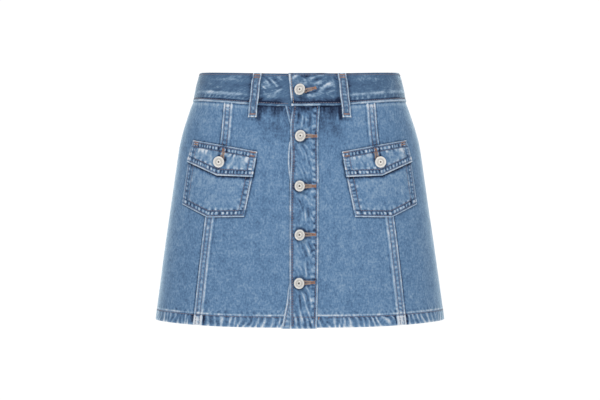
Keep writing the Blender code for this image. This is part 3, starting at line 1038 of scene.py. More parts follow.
@dataclass
class SkirtPanels:
    """Four front panels and two back panels, from the waist seam to the hem.

    A pocket hides the princess seam between the heights of under_pocket. A crumple has the width
    and length of its hills, their height and their wear.
    """

    denim: Material
    front_spacing: Pair = (1.45, 1.45)
    back_spacing: Pair = (2.0, 2.0)
    centre_width: float = 105.0
    side_width: float = 104.0
    back_width: float = 245.0
    seam_clearance: float = 0.02
    # Distance past the seam of the painted shadow beside a lapped fold
    shelter: float = 7.1
    under_pocket: tuple[float, ...] = (-168.0, -163.0, -94.0, -89.0)
    crumples: tuple[tuple[float, ...], ...] = (
        (64.0, 150.0, 0.55, 0.0), (9.0, 13.0, 0.09, 0.045), (24.0, 40.0, 0.18, 0.06),
    )

    def relief(self, lay: Lay, seed: int) -> None:
        """Relief that every panel has: waist gathers, the sewn hem and soft crumples.

        Args:
            lay: the panel.
            seed: number of its unevenness.
        """
        below, along = lay.below, lay.arc
        closure = lay.front * fade(46.0, 62.0, np.abs(lay.x))
        lay.press(ripples(along, 8.5, seed, below / 30.0) * fade(2.0, 20.0, below), 0.20, 0.10)
        # Shallow groove with painted shadow right under the waistband's lower edge
        lay.line(below, 0.2, 1.2, -0.15, -0.60)
        edge = 22.0 + 3.0 * drift(along / 20.0, 0.0, seed + 1)
        streaks = 0.86 + 0.22 * drift(along / 2.6, below / 30.0, seed + 1)
        lay.press(closure * fade(1.0, edge, below) * streaks, 0.0, -0.62)
        lay.press(closure * fade(10.0, 62.0, below), 0.0, -0.30)
        lay.press(closure * veins(along / 6.5, below / 40.0, seed + 20) * fade(12.0, 26.0, below), 0.14, 0.46)
        lay.line(below, 3.2, 2.4, 0.05, 0.36, 1.0 - closure)
        self.hem(lay, seed)
        for number, (wide, high, height, wear) in enumerate(self.crumples, start=2):
            lay.press(drift(along / wide, lay.z / high, seed + number), height, wear)
        lay.crease(SKIRT_CREASES, seed + 25, lay.side.value, lay.front)
        lay.crease(SKIRT_CREASES, seed + 26, -lay.side.value, 0.8 * ~lay.front)
        if lay.front.any():
            self.shadows(lay)

    @staticmethod
    def shadows(lay: Lay) -> None:
        """Painted shadows on the panel beside the pocket's sides and bottom, the flap's sides and top, and
        beside and under the belt loops.

        Args:
            lay: a front panel.
        """
        for path in (POCKET_BOTTOM.around(POCKET_TOP), FLAP_TOP.around(FLAP_BOTTOM)):
            lay.line(lay.off_path(path), 0.0, 1.7, -0.12, -0.42)
        aside = lay.x - FORM.point(FRONT_LOOP_TURN, lay.z)[..., 0]
        beside = smooth(-50.0, -45.0, lay.z)
        lay.line(aside, -7.6, 2.8, 0.0, -0.66, beside)
        lay.line(aside, 6.8, 1.4, 0.0, -0.30, beside)
        lay.line(aside, 0.0, 5.0, 0.0, -0.40, hump(lay.z + 46.8, 2.0))

    @staticmethod
    def hem(lay: Lay, seed: int) -> None:
        """Folded hem: a row of thread, rubbed cloth over it and slanted puckers under it.

        Args:
            lay: the panel.
            seed: number of its unevenness.
        """
        above, along, row = lay.above, lay.arc, lay.above - HEM_FOLD
        past = lay.past(PRINCESS_SEAM.turn(lay.z))
        ridge = 0.80 + 0.45 * drift(along / 6.0, 0.0, seed + 10) + 0.30 * blocks(along, 4.6, seed + 11)
        lay.line(row, 1.9, 1.25, 0.24, 0.88, ridge)
        lay.line(row, 4.8, 1.7, -0.05, -0.40, 0.30 + 0.70 * blocks(along, 7.5, seed + 12))
        fan = np.clip(ripples(along + 0.9 * row, 7.0, seed + 19, row / 14.0), 0.0, 1.0)
        fan = fan * smooth(2.0, 4.0, row) * fade(5.0, 15.0, row) * lay.front
        near = np.exp(-np.abs(past + 6.0) / 16.0) + np.exp(-np.abs(lay.x - 24.0) / 14.0)
        lay.press(fan * near, 0.16, 0.80)
        slant = (0.28 + 0.5 * drift(along / 40.0, 0.0, seed + 18)) * above
        wander = 4.5 * drift(along / 15.0, 0.0, seed + 13)
        rope = ripples(along + slant + wander, 7.8, seed + 14, above / 9.0)
        bars = np.clip(rope * 1.3, 0.0, 1.0) * (0.80 + 0.35 * drift(along / 11.0, above / 8.0, seed + 16))
        fold = smooth(-0.4, 0.4, -row)
        lay.press(fold * bars, 0.42, 1.25)
        lay.press(fold * (1.0 + 0.8 * drift(along / 7.0, above / 5.0, seed + 17)), 0.05, -0.24)
        lay.line(row, 0.0, 1.1, -0.30, -0.50)
        gap = np.abs(past) - 6.6
        beside = smooth(0.0, 0.6, gap) * fade(1.5, 5.0, gap) * lay.front
        lay.press(fold * beside * (1.0 - 0.6 * hump(above, 3.0)), -0.10, -0.70)
        lay.line(above, 0.0, 2.2, 0.0, 0.80, 0.6 + 0.5 * drift(along / 4.5, 0.0, seed + 15))

    @staticmethod
    def side_seam(lay: Lay) -> None:
        """Plain side seam, rubbed pale along its ridge.

        Args:
            lay: a panel beside it.
        """
        gap = np.abs(lay.past(SIDE_SEAM_TURN))
        lay.line(gap, 1.6, 1.1, 0.25, 0.30)
        lay.line(gap, 4.0, 3.0, 0.16, 0.20, ripples(-lay.z, 6.0, 91))

    def tuck(self, lay: Lay, past: Array) -> None:
        """Flattens a panel where the next one is lapped over it, with a painted shadow beside the lap."""
        lay.lift *= smooth(5.5, 8.0, past)
        lay.line(past, self.shelter, 1.2, -0.10, -0.55 if lay.front.any() else -0.50)

    def centre(self, side: Side) -> Lay:
        """Lays out a front centre panel, from under the placket to its fold over the princess seam.

        Args:
            side: the wearer's side.

        Returns:
            The laid cloth.
        """
        left, fell = side is Side.LEFT, Fell(31 + side.value)
        inner = SEWN_EDGE.at(-PANEL_TUCK) if left else UNDER_SEAM.at(SEAM_GAP / 2.0, -1.0)
        edges = inner, PRINCESS_SEAM.at(fell.half_width)
        lay = Lay(*upright(*edges, self.centre_width, self.front_spacing), 0.0, CLOTH, side)
        self.relief(lay, 100 + 20 * side.value)
        foot, lower, upper, top = self.under_pocket
        covered = smooth(foot, lower, lay.z) * fade(upper, top, lay.z)
        fell.press(lay, lay.past(PRINCESS_SEAM.turn(lay.z)), 1.0 - covered)
        return lay

    def outer(self, side: Side) -> Lay:
        """Lays out a front side panel, from under the princess seam's fold to the side seam.

        Args:
            side: the wearer's side.

        Returns:
            The laid cloth.
        """
        edges = PRINCESS_SEAM.at(SEAM_GAP / 2.0), meridian(SIDE_SEAM_TURN, -self.seam_clearance)
        lay = Lay(*upright(*edges, self.side_width, self.front_spacing), 0.0, CLOTH, side)
        self.relief(lay, 200 + 20 * side.value)
        past = lay.past(PRINCESS_SEAM.turn(lay.z))
        self.tuck(lay, past)
        lay.line(past, 8.0, 3.0, 0.10, 0.12, ripples(-lay.z, 5.4, 77))
        self.side_seam(lay)
        return lay

    def back(self, side: Side) -> Lay:
        """Lays out a back panel, from the side seam to the centre back, where the left one laps.

        Args:
            side: the wearer's side.

        Returns:
            The laid cloth.
        """
        fell = Fell(57, hem_wear=0.35)
        reach = fell.half_width if side is Side.LEFT else -SEAM_GAP / 2.0
        edges = meridian(SIDE_SEAM_TURN, self.seam_clearance), meridian(math.pi, reach)
        lay = Lay(*upright(*edges, self.back_width, self.back_spacing), 0.0, CLOTH, side)
        self.relief(lay, 300 + 20 * side.value)
        past = lay.past(math.pi)
        if side is Side.LEFT:
            fell.press(lay, past)
        else:
            self.tuck(lay, -past)
        self.side_seam(lay)
        return lay

    def build(self) -> list[Piece]:
        """Makes the six panels.

        Returns:
            The pieces.
        """
        kinds = (("front_{}_centre", self.centre), ("front_{}_side", self.outer), ("back_{}", self.back))
        return [
            make_sheet(name.format(side.word), lay_out(side), self.denim, "waistband")
            for side in Side for name, lay_out in kinds
        ]


# ---- button stand and placket

PLACKET_CREASES = tuple(Crease(*row) for row in (
    (-1, -36, -5, -58, 1.0, 1.3, -0.30, -0.50), (4, -36, 1, -60, 1.0, 1.1, 0.35, 0.62),
    (9.5, -36, 9, -58, -1.2, 1.0, 0.30, 0.60), (13.5, -38, 12, -58, 0.8, 1.6, -0.30, -0.60),
    (17, -44, 16, -60, 0.8, 1.0, 0.25, 0.40), (15, -55, 5, -62, 0.6, 1.7, 0.32, 0.50),
    (6, -44, 4, -60, 0.5, 1.4, -0.28, -0.55), (-2, -80, 5, -98, 1.0, 1.1, 0.30, 0.48),
    (1, -79, 9, -92, 1.2, 1.2, -0.25, -0.45), (3, -78, 12, -88, 1.5, 1.1, 0.35, 0.55),
    (7, -88, 12.5, -108, -1.0, 1.0, 0.32, 0.62), (10, -90, 14.5, -110, -1.0, 1.2, -0.25, -0.52),
    (-4, -98, 8, -122, 2.0, 1.3, -0.25, -0.40), (-4, -104, 6, -124, 1.5, 1.0, 0.28, 0.45),
    (2, -106, 11, -122, 1.0, 1.2, 0.30, 0.52), (12, -110, 16, -124, 0.5, 1.1, -0.25, -0.45),
    (2, -143, 12, -154, 1.2, 1.1, 0.38, 0.60), (5, -141, 15, -150, 1.2, 1.2, -0.26, -0.50),
    (-4, -146, 5, -164, 1.4, 1.2, -0.26, -0.42), (-3, -150, 4, -172, 1.0, 1.0, 0.26, 0.42),
    (7, -158, 9, -184, -0.8, 1.0, 0.32, 0.56), (10.5, -156, 12.5, -180, -0.8, 1.2, -0.26, -0.48),
    (0, -172, 4, -187, 0.6, 1.2, 0.22, 0.34), (6, -205, 13.5, -222, 1.0, 1.1, 0.42, 0.72),
    (10, -203, 16, -216, 0.8, 1.1, -0.28, -0.55), (3, -207, 9, -222, 1.0, 1.3, -0.26, -0.40),
    (-4, -206, -1, -218, 0.8, 1.1, 0.26, 0.46), (-4, -216, 3, -236, 1.2, 1.3, -0.24, -0.34),
    (8, -222, 8.5, -247, -0.8, 1.0, 0.34, 0.66), (11, -226, 11.5, -246, -0.6, 1.2, -0.28, -0.50),
    (0, -232, 3, -247, 0.6, 1.2, 0.20, 0.30), (2, -266, 8, -284, 0.8, 1.1, 0.46, 0.90),
    (8, -284, 13, -302, 0.8, 1.1, 0.40, 0.85), (5, -262, 13, -286, 1.0, 1.4, -0.32, -0.55),
    (6, -258, 13, -270, 0.8, 1.1, 0.36, 0.60), (12, -268, 15, -290, 0.6, 1.1, 0.30, 0.48),
    (-3, -266, 3, -298, 1.2, 1.4, -0.28, -0.44), (-4, -262, -1, -282, 0.6, 1.1, 0.28, 0.42),
    (-2, -284, 5, -308, 0.6, 1.2, 0.28, 0.52),
))


@dataclass
class Placket:
    """Buttoned closure: the stand under it and the band with its buttonholes over it."""

    denim: Material
    stand_width: float = 30.0
    stand_spacing: Pair = (1.6, 1.1)
    band_width: float = 35.0
    band_spacing: Pair = (1.1, 0.95)

    @staticmethod
    def shown(z: Array) -> Array:
        """1 where the stand's fold shows beside the placket's free edge, 0 where it is covered."""
        return smooth(0.9, 2.4, FREE_EDGE(z) - UNDER_SEAM(z))

    def stand(self) -> Lay:
        """Lays out the stand, whose fold is lapped over the right centre panel where it shows.

        Returns:
            The laid cloth.
        """
        places = upright(
            lambda z: UNDER_SEAM.turn(z, 0.3 - 0.9 * self.shown(z)), SEWN_EDGE.at(-6.0),
            self.stand_width, self.stand_spacing, CLOSURE_DROP,
        )
        lay = Lay(*places, 0.0, STAND_WALL)
        past, shown = lay.past(UNDER_SEAM.turn(lay.z)), self.shown(lay.z)
        clear = smooth(-1.2, -0.2, -lay.past(FREE_EDGE.turn(lay.z)))
        rise = (0.2 + 0.8 * clear) * shown
        lay.lift += fade(0.6, 2.8, past) * 1.25 * rise
        lay.under += fade(-0.2, 0.3, past) * 1.3 * rise
        lay.line(past, 0.3, 1.1, 0.0, 0.85 - 0.40 * smooth(-70.0, -55.0, lay.z), shown)
        inside, low = smooth(1.6, 2.6, past) * clear, fade(-285.0, -265.0, lay.z)
        lay.press(smooth(1.2, 2.2, past) * (1.0 - low), -0.05, -0.36)
        lay.press(ripples(-lay.z - 0.4 * past, 6.2, 402, past / 7.0) * inside, 0.16, 0.30 + 0.20 * low)
        lay.press(inside * low, 0.0, 0.22)
        return lay

    def band(self) -> Lay:
        """Lays out the band, rubbed pale along both edges and creased between its buttons.

        Returns:
            The laid cloth.
        """
        edges = FREE_EDGE.at(-0.8), SEWN_EDGE.at(0.9)
        places = upright(*edges, self.band_width, self.band_spacing, CLOSURE_DROP)
        lay = Lay(*places, LAY_GAP + PLACKET_WALL, PLACKET_WALL, edge_drop=0.9)
        left, right, _, _ = lay.edge_distances
        z, below, above = lay.z, lay.below, lay.above + CLOSURE_DROP
        uneven = 0.88 + 0.2 * drift(z / 6.0, 0.0, 411)
        lay.line(left, 0.9, 1.25, 0.10, 0.86, uneven)
        lay.line(right, 0.9, 1.0, 0.10, 0.86, uneven)
        lay.line(left, 3.3, 1.7, -0.24, -0.34)
        lay.line(right, 3.2, 1.1, -0.26, -0.44)
        width = 9.2 + 2.2 * drift(z / 7.0, 0.0, 418)
        reach = smooth(3.6, 4.4, right) * fade(width - 1.5, width, right)
        lay.press(reach * (0.16 + 0.40 * blocks(-z, 8.2, 412, right / 6.0)), 0.26, 1.0)
        spots = np.clip(-ripples(-z, 5.6, 416, right / 3.0) - 0.25, 0.0, 1.0)
        lay.line(right, 5.6, 1.7, -0.20, -0.95, spots)
        near = smooth(3.8, 4.8, left) * fade(5.5, 9.0, left)
        lay.press(blocks(-z, 5.5, 413, left / 7.0) * near, 0.12, 0.16)
        lay.press(drift(lay.x / 4.0, z / 7.0, 414), 0.14, 0.24)
        lay.press(veins((lay.x + 0.30 * z) / 4.2, z / 11.0, 419) * smooth(4.0, 5.5, left), 0.20, 0.30)
        lay.wear -= 0.10
        lay.line(above, 0.0, 2.4, 0.0, 0.45)
        pleats = ripples(lay.x + 0.42 * above, 6.0, 417, above / 16.0)
        lay.press(fade(12.0, 20.0, above) * pleats * smooth(3.5, 5.0, np.minimum(left, right)), 0.25, 0.70)
        # Painted shadow right under the waistband, then a broader darkening further down
        lay.press(fade(1.0, 9.0, below), -0.1, -0.62)
        lay.press(fade(8.0, 30.0, below), 0.0, -0.22)
        lay.crease(PLACKET_CREASES, 415)
        for hole in FRONT_HOLES:
            hole.press(lay)
        return lay

    def build(self) -> list[Piece]:
        """Makes the stand and the band."""
        stand = make_sheet("placket_inner", self.stand(), self.denim, "waistband")
        return [stand, make_sheet("placket_outer", self.band(), self.denim, "placket_inner", held=Held.LAID)]


# ---- waistband and loops

BAND_CREASES = tuple(Crease(*row) for row in (
    (-10, 4, -2, 9.5, 0.6, 1.3, 0.45, 0.80), (-8, 1, -4, 6, 0.4, 1.2, -0.35, -0.50),
    (0, 9.5, 14, 8.5, -1.5, 2.4, -0.40, -0.85), (12, 3, 34, 10, 2.0, 1.3, 0.45, 0.78),
    (12, 7, 34, 12, 1.0, 1.6, -0.35, -0.60), (16, 1, 30, 5, 1.0, 1.5, -0.38, -0.70),
    (10, 0, 13, -3, -1.0, 1.2, -0.30, -0.50), (21, -3, 36, 7.5, 1.2, 1.2, 0.42, 0.80),
    (24, -6, 38, 2, 1.0, 1.5, -0.38, -0.68), (26, -10, 42, 1, 1.2, 1.2, 0.40, 0.74),
    (30, -12, 44, -4, 0.8, 1.4, -0.34, -0.62), (34, -14, 46, -9, 0.8, 1.1, 0.34, 0.56),
    (2, -15, 16, -18.5, 0.8, 2.2, 0.30, 0.52), (-6, -12, -2, -19, 0.4, 1.6, 0.28, 0.42),
    (8, -11, 18, -13, 0.5, 1.3, 0.26, 0.40), (38, 9, 48, 4, 0.8, 1.3, -0.30, -0.46),
    (-50, 9, -38, -4, 1.4, 1.3, 0.42, 0.66), (-46, 8, -34, -3, 1.0, 1.4, -0.36, -0.58),
    (-40, 7, -27, -8, 1.4, 1.2, 0.40, 0.62), (-36, 8, -24, -4, 1.0, 1.4, -0.32, -0.54),
    (-30, 8.5, -20, 2, 0.8, 1.3, 0.34, 0.52), (-50, -2, -40, -13, 0.8, 1.3, 0.40, 0.66),
    (-47, -7, -39, -14, 0.8, 1.4, -0.34, -0.50), (-33, -14, -19, -6, 1.0, 1.3, 0.44, 0.78),
    (-31, -11, -18, -2, 1.0, 1.5, -0.34, -0.60), (-26, -6, -16, 1, 0.6, 1.3, 0.26, 0.40),
    (56, -2, 100, -1, 0.5, 3.0, -0.20, -0.26), (-98, -1, -58, -3, 0.5, 3.0, -0.20, -0.26),
    (68, 5, 118, 7, 0.8, 1.8, 0.16, 0.22), (-116, 7, -70, 4, 0.8, 1.8, 0.16, 0.22),
    (74, -8, 92, -10, 0.6, 1.4, -0.16, -0.22), (-124, -6, -96, -9, 0.6, 1.4, -0.16, -0.22),
))
PLAIN_BAND_CREASES = BAND_CREASES[-6:]


@dataclass
class Waistband:
    """One folded strip round the waist, whose over end lies on its under end in front."""

    denim: Material
    over_end_top_x: float = -14.5
    over_end_bottom_x: float = -9.8
    under_end_x: float = 16.0
    ramp_x: Pair = (26.0, 45.0)
    height: float = 36.5
    row_spacing: float = 1.15
    front_reach: float = 200.0
    front_spacing: float = 1.3
    back_spacing: float = 2.2

    def lay_out(self) -> Lay:
        """Lays out the strip with its relief.

        Returns:
            The laid cloth.
        """
        start = FORM.turn_at(self.over_end_bottom_x, 0.0)
        turns = np.linspace(start, math.tau + FORM.turn_at(self.under_end_x, 0.0), 1500)
        arcs = FORM.arc(turns, 0.0) - FORM.arc(start, 0.0)
        total, reach = arcs[-1], self.front_reach
        steps = np.concatenate(([0.0], EDGE_STEPS[:-1], np.arange(EDGE_STEPS[-1], reach, self.front_spacing)))
        middle = np.linspace(reach, total - reach, int((total - 2.0 * reach) / self.back_spacing))
        columns = np.interp(np.concatenate((steps, middle, (total - steps)[::-1])), arcs, turns)
        down, turn = np.meshgrid(grid_shares(self.height, self.row_spacing), columns, indexing="ij")
        lean = (FORM.turn_at(self.over_end_top_x, 0.0) - start) * (1.0 - down)
        turn = turn + lean * fade(0.0, 0.05, turn - start)
        rim, waist = FORM.rim_z(turn), FORM.waist_z(turn)
        lay = Lay(
            turn, rim + (waist - rim) * down, BAND_PROUD, BAND_WALL,
            edge_radius=1.5, edge_drop=1.0, cross_grain=True,
        )
        inner, outer = (FORM.turn_at(x, 0.0) for x in self.ramp_x)
        lay.raise_all(fade(inner, outer, turn) * (BAND_WALL + SEAM_GAP))
        self.relief(lay)
        return lay

    @staticmethod
    def relief(lay: Lay) -> None:
        """Folded edges, the sewn lower edge with its puckers, and creases at the closure.

        Args:
            lay: the strip.
        """
        top, foot, along, left = FORM.rim_z(lay.turn) - lay.z, -lay.below, lay.arc, lay.across
        shown = fade(math.tau - 0.22, math.tau - 0.11, lay.turn)
        front = lay.front * shown
        closure = front * fade(46.0, 58.0, np.abs(lay.x))
        beyond = shown * (1.0 - closure)
        lay.wear -= 0.16
        uneven = 0.92 + 0.2 * drift(along / 9.0, 0.0, 501)
        dim = closure * np.where(left < 300.0, 0.64 * smooth(24.0, 31.0, lay.x), 0.72)
        lay.line(foot, 1.5, 1.35 - 0.35 * (dim > 0.0), 0.50, 1.06, uneven * (1.0 - dim) * shown)
        lay.line(foot, 4.3, 1.4, -0.32, -0.92, shown)
        lay.line(foot, 6.6, 1.1, 0.10, 0.30, beyond)
        lay.line(foot, 8.0, 1.8, -0.16, -0.52, beyond * (0.25 + 0.75 * blocks(along, 7.2, 502, foot / 12.0)))
        lay.line(foot, 12.8, 2.2, 0.22, 0.56, beyond * (0.8 + 0.5 * drift(along / 10.0, 0.0, 503)))
        lay.line(top, 0.2, 1.1, 0.0, -0.40)
        lay.press(drift(along / 13.0, foot / 5.0, 504) * shown, 0.16, 0.15)
        lay.press(drift(along / 5.5, foot / 2.6, 505) * shown, 0.07, 0.10)
        patches, fold = drift(along / 7.0, foot / 7.0, 506), smooth(2.5, 4.0, foot)
        lay.press(closure * fade(7.5, 13.0, foot) * fold * (0.9 + 0.3 * patches), -0.15, -0.52)
        lay.press(closure * fade(4.0, 12.0, top) * (0.50 + 0.5 * patches), 0.0, -0.30)
        lay.press(closure * patches, 0.20, 0.34)
        over = lay.x > -10.0
        slant = along + np.where(over, -0.8, 0.9) * foot
        across = foot + np.where(over, 0.5, -0.5) * along
        crooked = veins(slant / 11.0, across / 3.6, 509) * fold * shown
        lay.press(crooked * closure, 0.24, 0.40)
        lay.press(crooked * (1.0 - closure), 0.06, 0.10)
        lay.press(closure * smooth(7.0, 12.0, foot), 0.0, 0.12)
        # Painted shadows on the band beside the front belt loops
        beside = np.abs(np.abs(lay.x) - FORM.point(FRONT_LOOP_TURN, lay.z)[..., 0])
        lay.line(beside, 7.5, 2.5, 0.0, -0.40, front)
        lay.line(left, 0.9, 1.2, 0.1, 0.98, 1.0 - 0.6 * hump(foot - 1.5, 1.5))
        lay.line(left, 3.6, 1.2, -0.2, -0.25)
        lay.crease(BAND_CREASES, 507, shown=1.1 * front)
        lay.crease(PLAIN_BAND_CREASES, 508, -1.0, 0.5 * ~lay.front)
        here = (left < 80.0) * lay.front
        # Painted shadow below the waist buttonhole
        lay.line(lay.off_path(((8.5, -13.8), (20.4, -11.8))), 0.0, 1.7, -0.2, -0.62, here)
        WAIST_HOLE.press(lay, here)

    def build(self) -> list[Piece]:
        """Makes the strip."""
        return [make_sheet("waistband", self.lay_out(), self.denim, slot=Slot.BAND, held=Held.STRETCHED)]


@dataclass
class BeltLoop:
    """Strip tacked at the rim and below the waist seam, standing off the waistband between."""

    denim: Material
    name: str
    turn: float
    seed: int
    width: float = 11.3
    profile: Path = (
        (0.3, 1.1), (6.0, 1.2), (11.0, 3.4), (21.0, 4.0), (32.0, 4.1), (43.0, 3.8), (48.5, 2.2), (52.0, 0.5),
        (57.5, 0.4),
    )

    def build(self) -> Piece:
        """Makes the loop, which follows its profile of drops from the rim and lifts.

        Returns:
            The piece.
        """
        first, last = self.profile[0][0], self.profile[-1][0]
        rows = first + grid_shares(last - first, 0.95) * (last - first)
        columns = (grid_shares(self.width, 0.8) - 0.5) * self.width
        drop, aside = np.meshgrid(rows, columns, indexing="ij")
        z = FORM.rim_z(self.turn) - drop
        lay = Lay(FORM.nudge(self.turn, z, aside), z, LOOP_WALL, LOOP_WALL, edge_drop=0.7)
        lay.raise_all(Curve(*((-place, lift) for place, lift in self.profile))(-drop))
        edge = self.width / 2.0 - np.abs(aside)
        lay.wear += 0.06
        lay.line(edge, 0.7, 0.95, 0.05, 0.76, 0.9 + 0.25 * drift(drop / 5.0, aside / 9.0, self.seed))
        lay.line(edge, 2.6, 0.9, -0.20, -0.36)
        lay.press(drift(aside / 1.8, drop / 3.6, self.seed + 2), 0.06, 0.26)
        lay.press(smooth(2.2, 3.2, edge) * ripples(drop, 5.0, self.seed, aside / 4.0), 0.14, 0.22)
        lay.line(last - drop, 0.8, 1.2, 0.05, 0.75)
        lay.line(drop, 1.2, 1.6, 0.05, 0.40)
        return make_sheet(self.name, lay, self.denim, "waistband", slot=Slot.BAND, held=Held.STRETCHED)


# ---- pockets and flaps

@dataclass
class PatchPocket:
    """Patch pocket on one side, with its buttoned flap."""

    denim: Material
    side: Side
    spacing: float = 1.0
    ease: float = 0.3
    pocket_length: float = 75.0
    flap_length: float = 36.0

    def patch(self, top: Outline, bottom: Outline, length: float, wall: float) -> Lay:
        """Lays out a patch between two outlines, with a column on the lower corner.

        Args:
            top: its upper edge.
            bottom: its lower edge.
            length: its rough length.
            wall: its thickness.

        Returns:
            The laid cloth.
        """
        width = bottom.x[-1] - bottom.x[0]
        corner = (bottom.x[1] - bottom.x[0]) / width
        even = grid_shares(width, self.spacing)
        nearest = int(np.argmin(np.abs(even - corner)))
        shares = np.interp(np.arange(len(even)), (0, nearest, len(even) - 1), (0.0, corner, 1.0))
        shares[:4], shares[-4:] = even[:4], even[-4:]
        down, over = np.meshgrid(grid_shares(length, self.spacing), shares, indexing="ij")
        x, z = (start + (end - start) * down for start, end in zip(top.at(over), bottom.at(over)))
        return Lay(FORM.turn_at(x, z), z, LAY_GAP + wall, wall, self.side)

    @staticmethod
    def double_row(lay: Lay, gap: Array, along: Array, seed: int, strength: float, pitch: float) -> None:
        """Two rows of thread along an edge, with puckered cloth between and beyond them.

        Args:
            lay: the patch.
            gap: distance from the edge.
            along: distance along it.
            seed: number of its unevenness.
            strength: how strongly it is worn.
            pitch: distance from one pucker to the next.
        """
        between = smooth(2.8, 3.6, gap) * fade(6.6, 7.4, gap)
        puff = 0.85 * blocks(along, pitch, seed) + 0.50 * drift(along / 2.4, gap / 1.6, seed + 8)
        lay.press(between * puff, 0.20, 0.72 * strength)
        lay.press(between, 0.0, 0.06 * strength)
        reach = 13.5 + 3.0 * drift(along / 9.0, 0.0, seed + 3)
        patch = np.clip(blocks(along, 8.5, seed + 1) + 0.35, -0.4, 1.0)
        patch = patch * (0.8 + 0.5 * drift(along / 14.0, gap / 5.0, seed + 6))
        lay.press(smooth(8.6, 9.6, gap) * fade(9.0, reach, gap) * patch, 0.16, 0.72 * strength)
        for row in (2.3, 8.0):
            lay.line(gap, row, 1.1, -0.24, -0.56 * strength)

    def pocket(self) -> Lay:
        """Lays out the pocket, sewn round its sides and bottom.

        Returns:
            The laid cloth.
        """
        lay = self.patch(POCKET_TOP, POCKET_BOTTOM, self.pocket_length, CLOTH)
        seed = 600 + 20 * self.side.value
        left, right, _, bottom = lay.edge_distances
        lay.raise_all(self.ease)
        corner = FAR * fade(7.5, 8.5, bottom)
        self.double_row(lay, bottom, lay.across, seed, 1.25, 6.0)
        for shift, gap, strength in ((2, left, 0.70), (4, right, 0.80)):
            self.double_row(lay, gap + corner, lay.down, seed + shift, strength, 5.2)
        edge = np.minimum.reduce((left, right, bottom))
        lay.line(edge, 0.6, 0.95, 0.05, 0.86)
        middle, inner = smooth(8.0, 22.0, edge), smooth(9.0, 12.0, edge)
        lay.press(middle, 0.9, 0.06)
        lay.under += 0.45 * middle
        slant = ((lay.x + 0.7 * lay.z) / 4.2, (lay.z - 0.7 * lay.x) / 10.0)
        lay.press(drift(*slant, seed + 6) * inner, 0.13, 0.14)
        lay.press(veins(*slant, seed + 7) * inner, 0.16, 0.20)
        # Painted shadow of the flap's lower edge on the pocket
        lay.line(lay.off_path(FLAP_BOTTOM.corners), 0.0, 2.8, 0.0, -1.15)
        return lay

    def flap(self) -> Lay:
        """Lays out the flap, sewn flat along its top and lying over the pocket below that.

        Returns:
            The laid cloth.
        """
        lay = self.patch(FLAP_TOP, FLAP_BOTTOM, self.flap_length, FLAP_WALL)
        seed = 700 + 20 * self.side.value
        left, right, top, bottom = lay.edge_distances
        ends, sides, share = np.minimum(top, bottom), np.minimum(left, right), top / (top + bottom)
        step = smooth(0.2, 0.33, share) * (LAY_GAP + CLOTH + self.ease)
        lay.raise_all(step + smooth(0.55, 1.0, share) * 0.9)
        corner = FAR * fade(8.0, 8.6, ends)
        for shift, gap in ((4, left), (6, right)):
            self.double_row(lay, gap + corner, lay.down, seed + shift, 0.7, 4.6)
        self.double_row(lay, top, lay.across, seed, 1.1, 4.9)
        self.double_row(lay, bottom, lay.across, seed + 2, 1.25, 4.7)
        worn = 0.85 + 0.25 * drift(lay.across / 7.0, lay.down / 7.0, seed + 10)
        lay.line(top, 0.5, 0.8, 0.05, 0.80)
        lay.line(np.minimum(sides, bottom), 0.9, 1.3, 0.10, 0.90, worn)
        lay.line(bottom, 1.4, 1.3, 0.10, 0.36, worn)
        middle = smooth(7.5, 9.5, ends) * smooth(8.0, 12.0, sides)
        upper = middle * fade(9.0, 17.0, top)
        lean = lay.x + 0.9 * drift(lay.x / 9.0, lay.z / 7.0, seed + 12) + 0.22 * lay.z
        streaks = drift(lean / 2.4, lay.z / 7.0, seed + 8)
        lay.press(middle, 0.5, 0.12)
        lay.press(middle * streaks, 0.20, 0.26)
        lay.press(upper * (0.25 + 1.4 * streaks), 0.14, 0.36)
        lay.press(upper * veins(lean / 3.8, lay.z / 8.0, seed + 11), 0.16, 0.26)
        lay.press(middle * veins(lay.x / 4.0, lay.z / 9.0, seed + 9), 0.16, 0.30)
        FLAP_HOLE.press(lay)
        return lay

    def build(self) -> list[Piece]:
        """Makes the pocket and its flap.

        Returns:
            The pieces.
        """
        word = self.side.word
        panels = (f"front_{word}_centre", f"front_{word}_side")
        return [
            make_sheet(f"pocket_{word}", self.pocket(), self.denim, *panels, held=Held.LAID),
            make_sheet(f"flap_{word}", self.flap(), self.denim, f"pocket_{word}", held=Held.LAID),
        ]


# ---- shorts

# Height, distance inside the form, share of leg, and the inner leg's x
SHORTS_LEVELS = (
    (-18.0, 1.8, 0.00, 0.15),
    (-45.0, 3.0, 0.00, 0.15),
    (-80.0, 6.0, 0.00, 0.15),
    (-120.0, 9.0, 0.00, 0.15),
    (-155.0, 11.0, 0.02, 0.15),
    (-185.0, 12.5, 0.22, 0.15),
    (-208.0, 14.0, 0.62, 0.15),
    (-225.0, 15.0, 1.00, 0.30),
    (-285.0, 16.0, 1.00, 8.00),
)


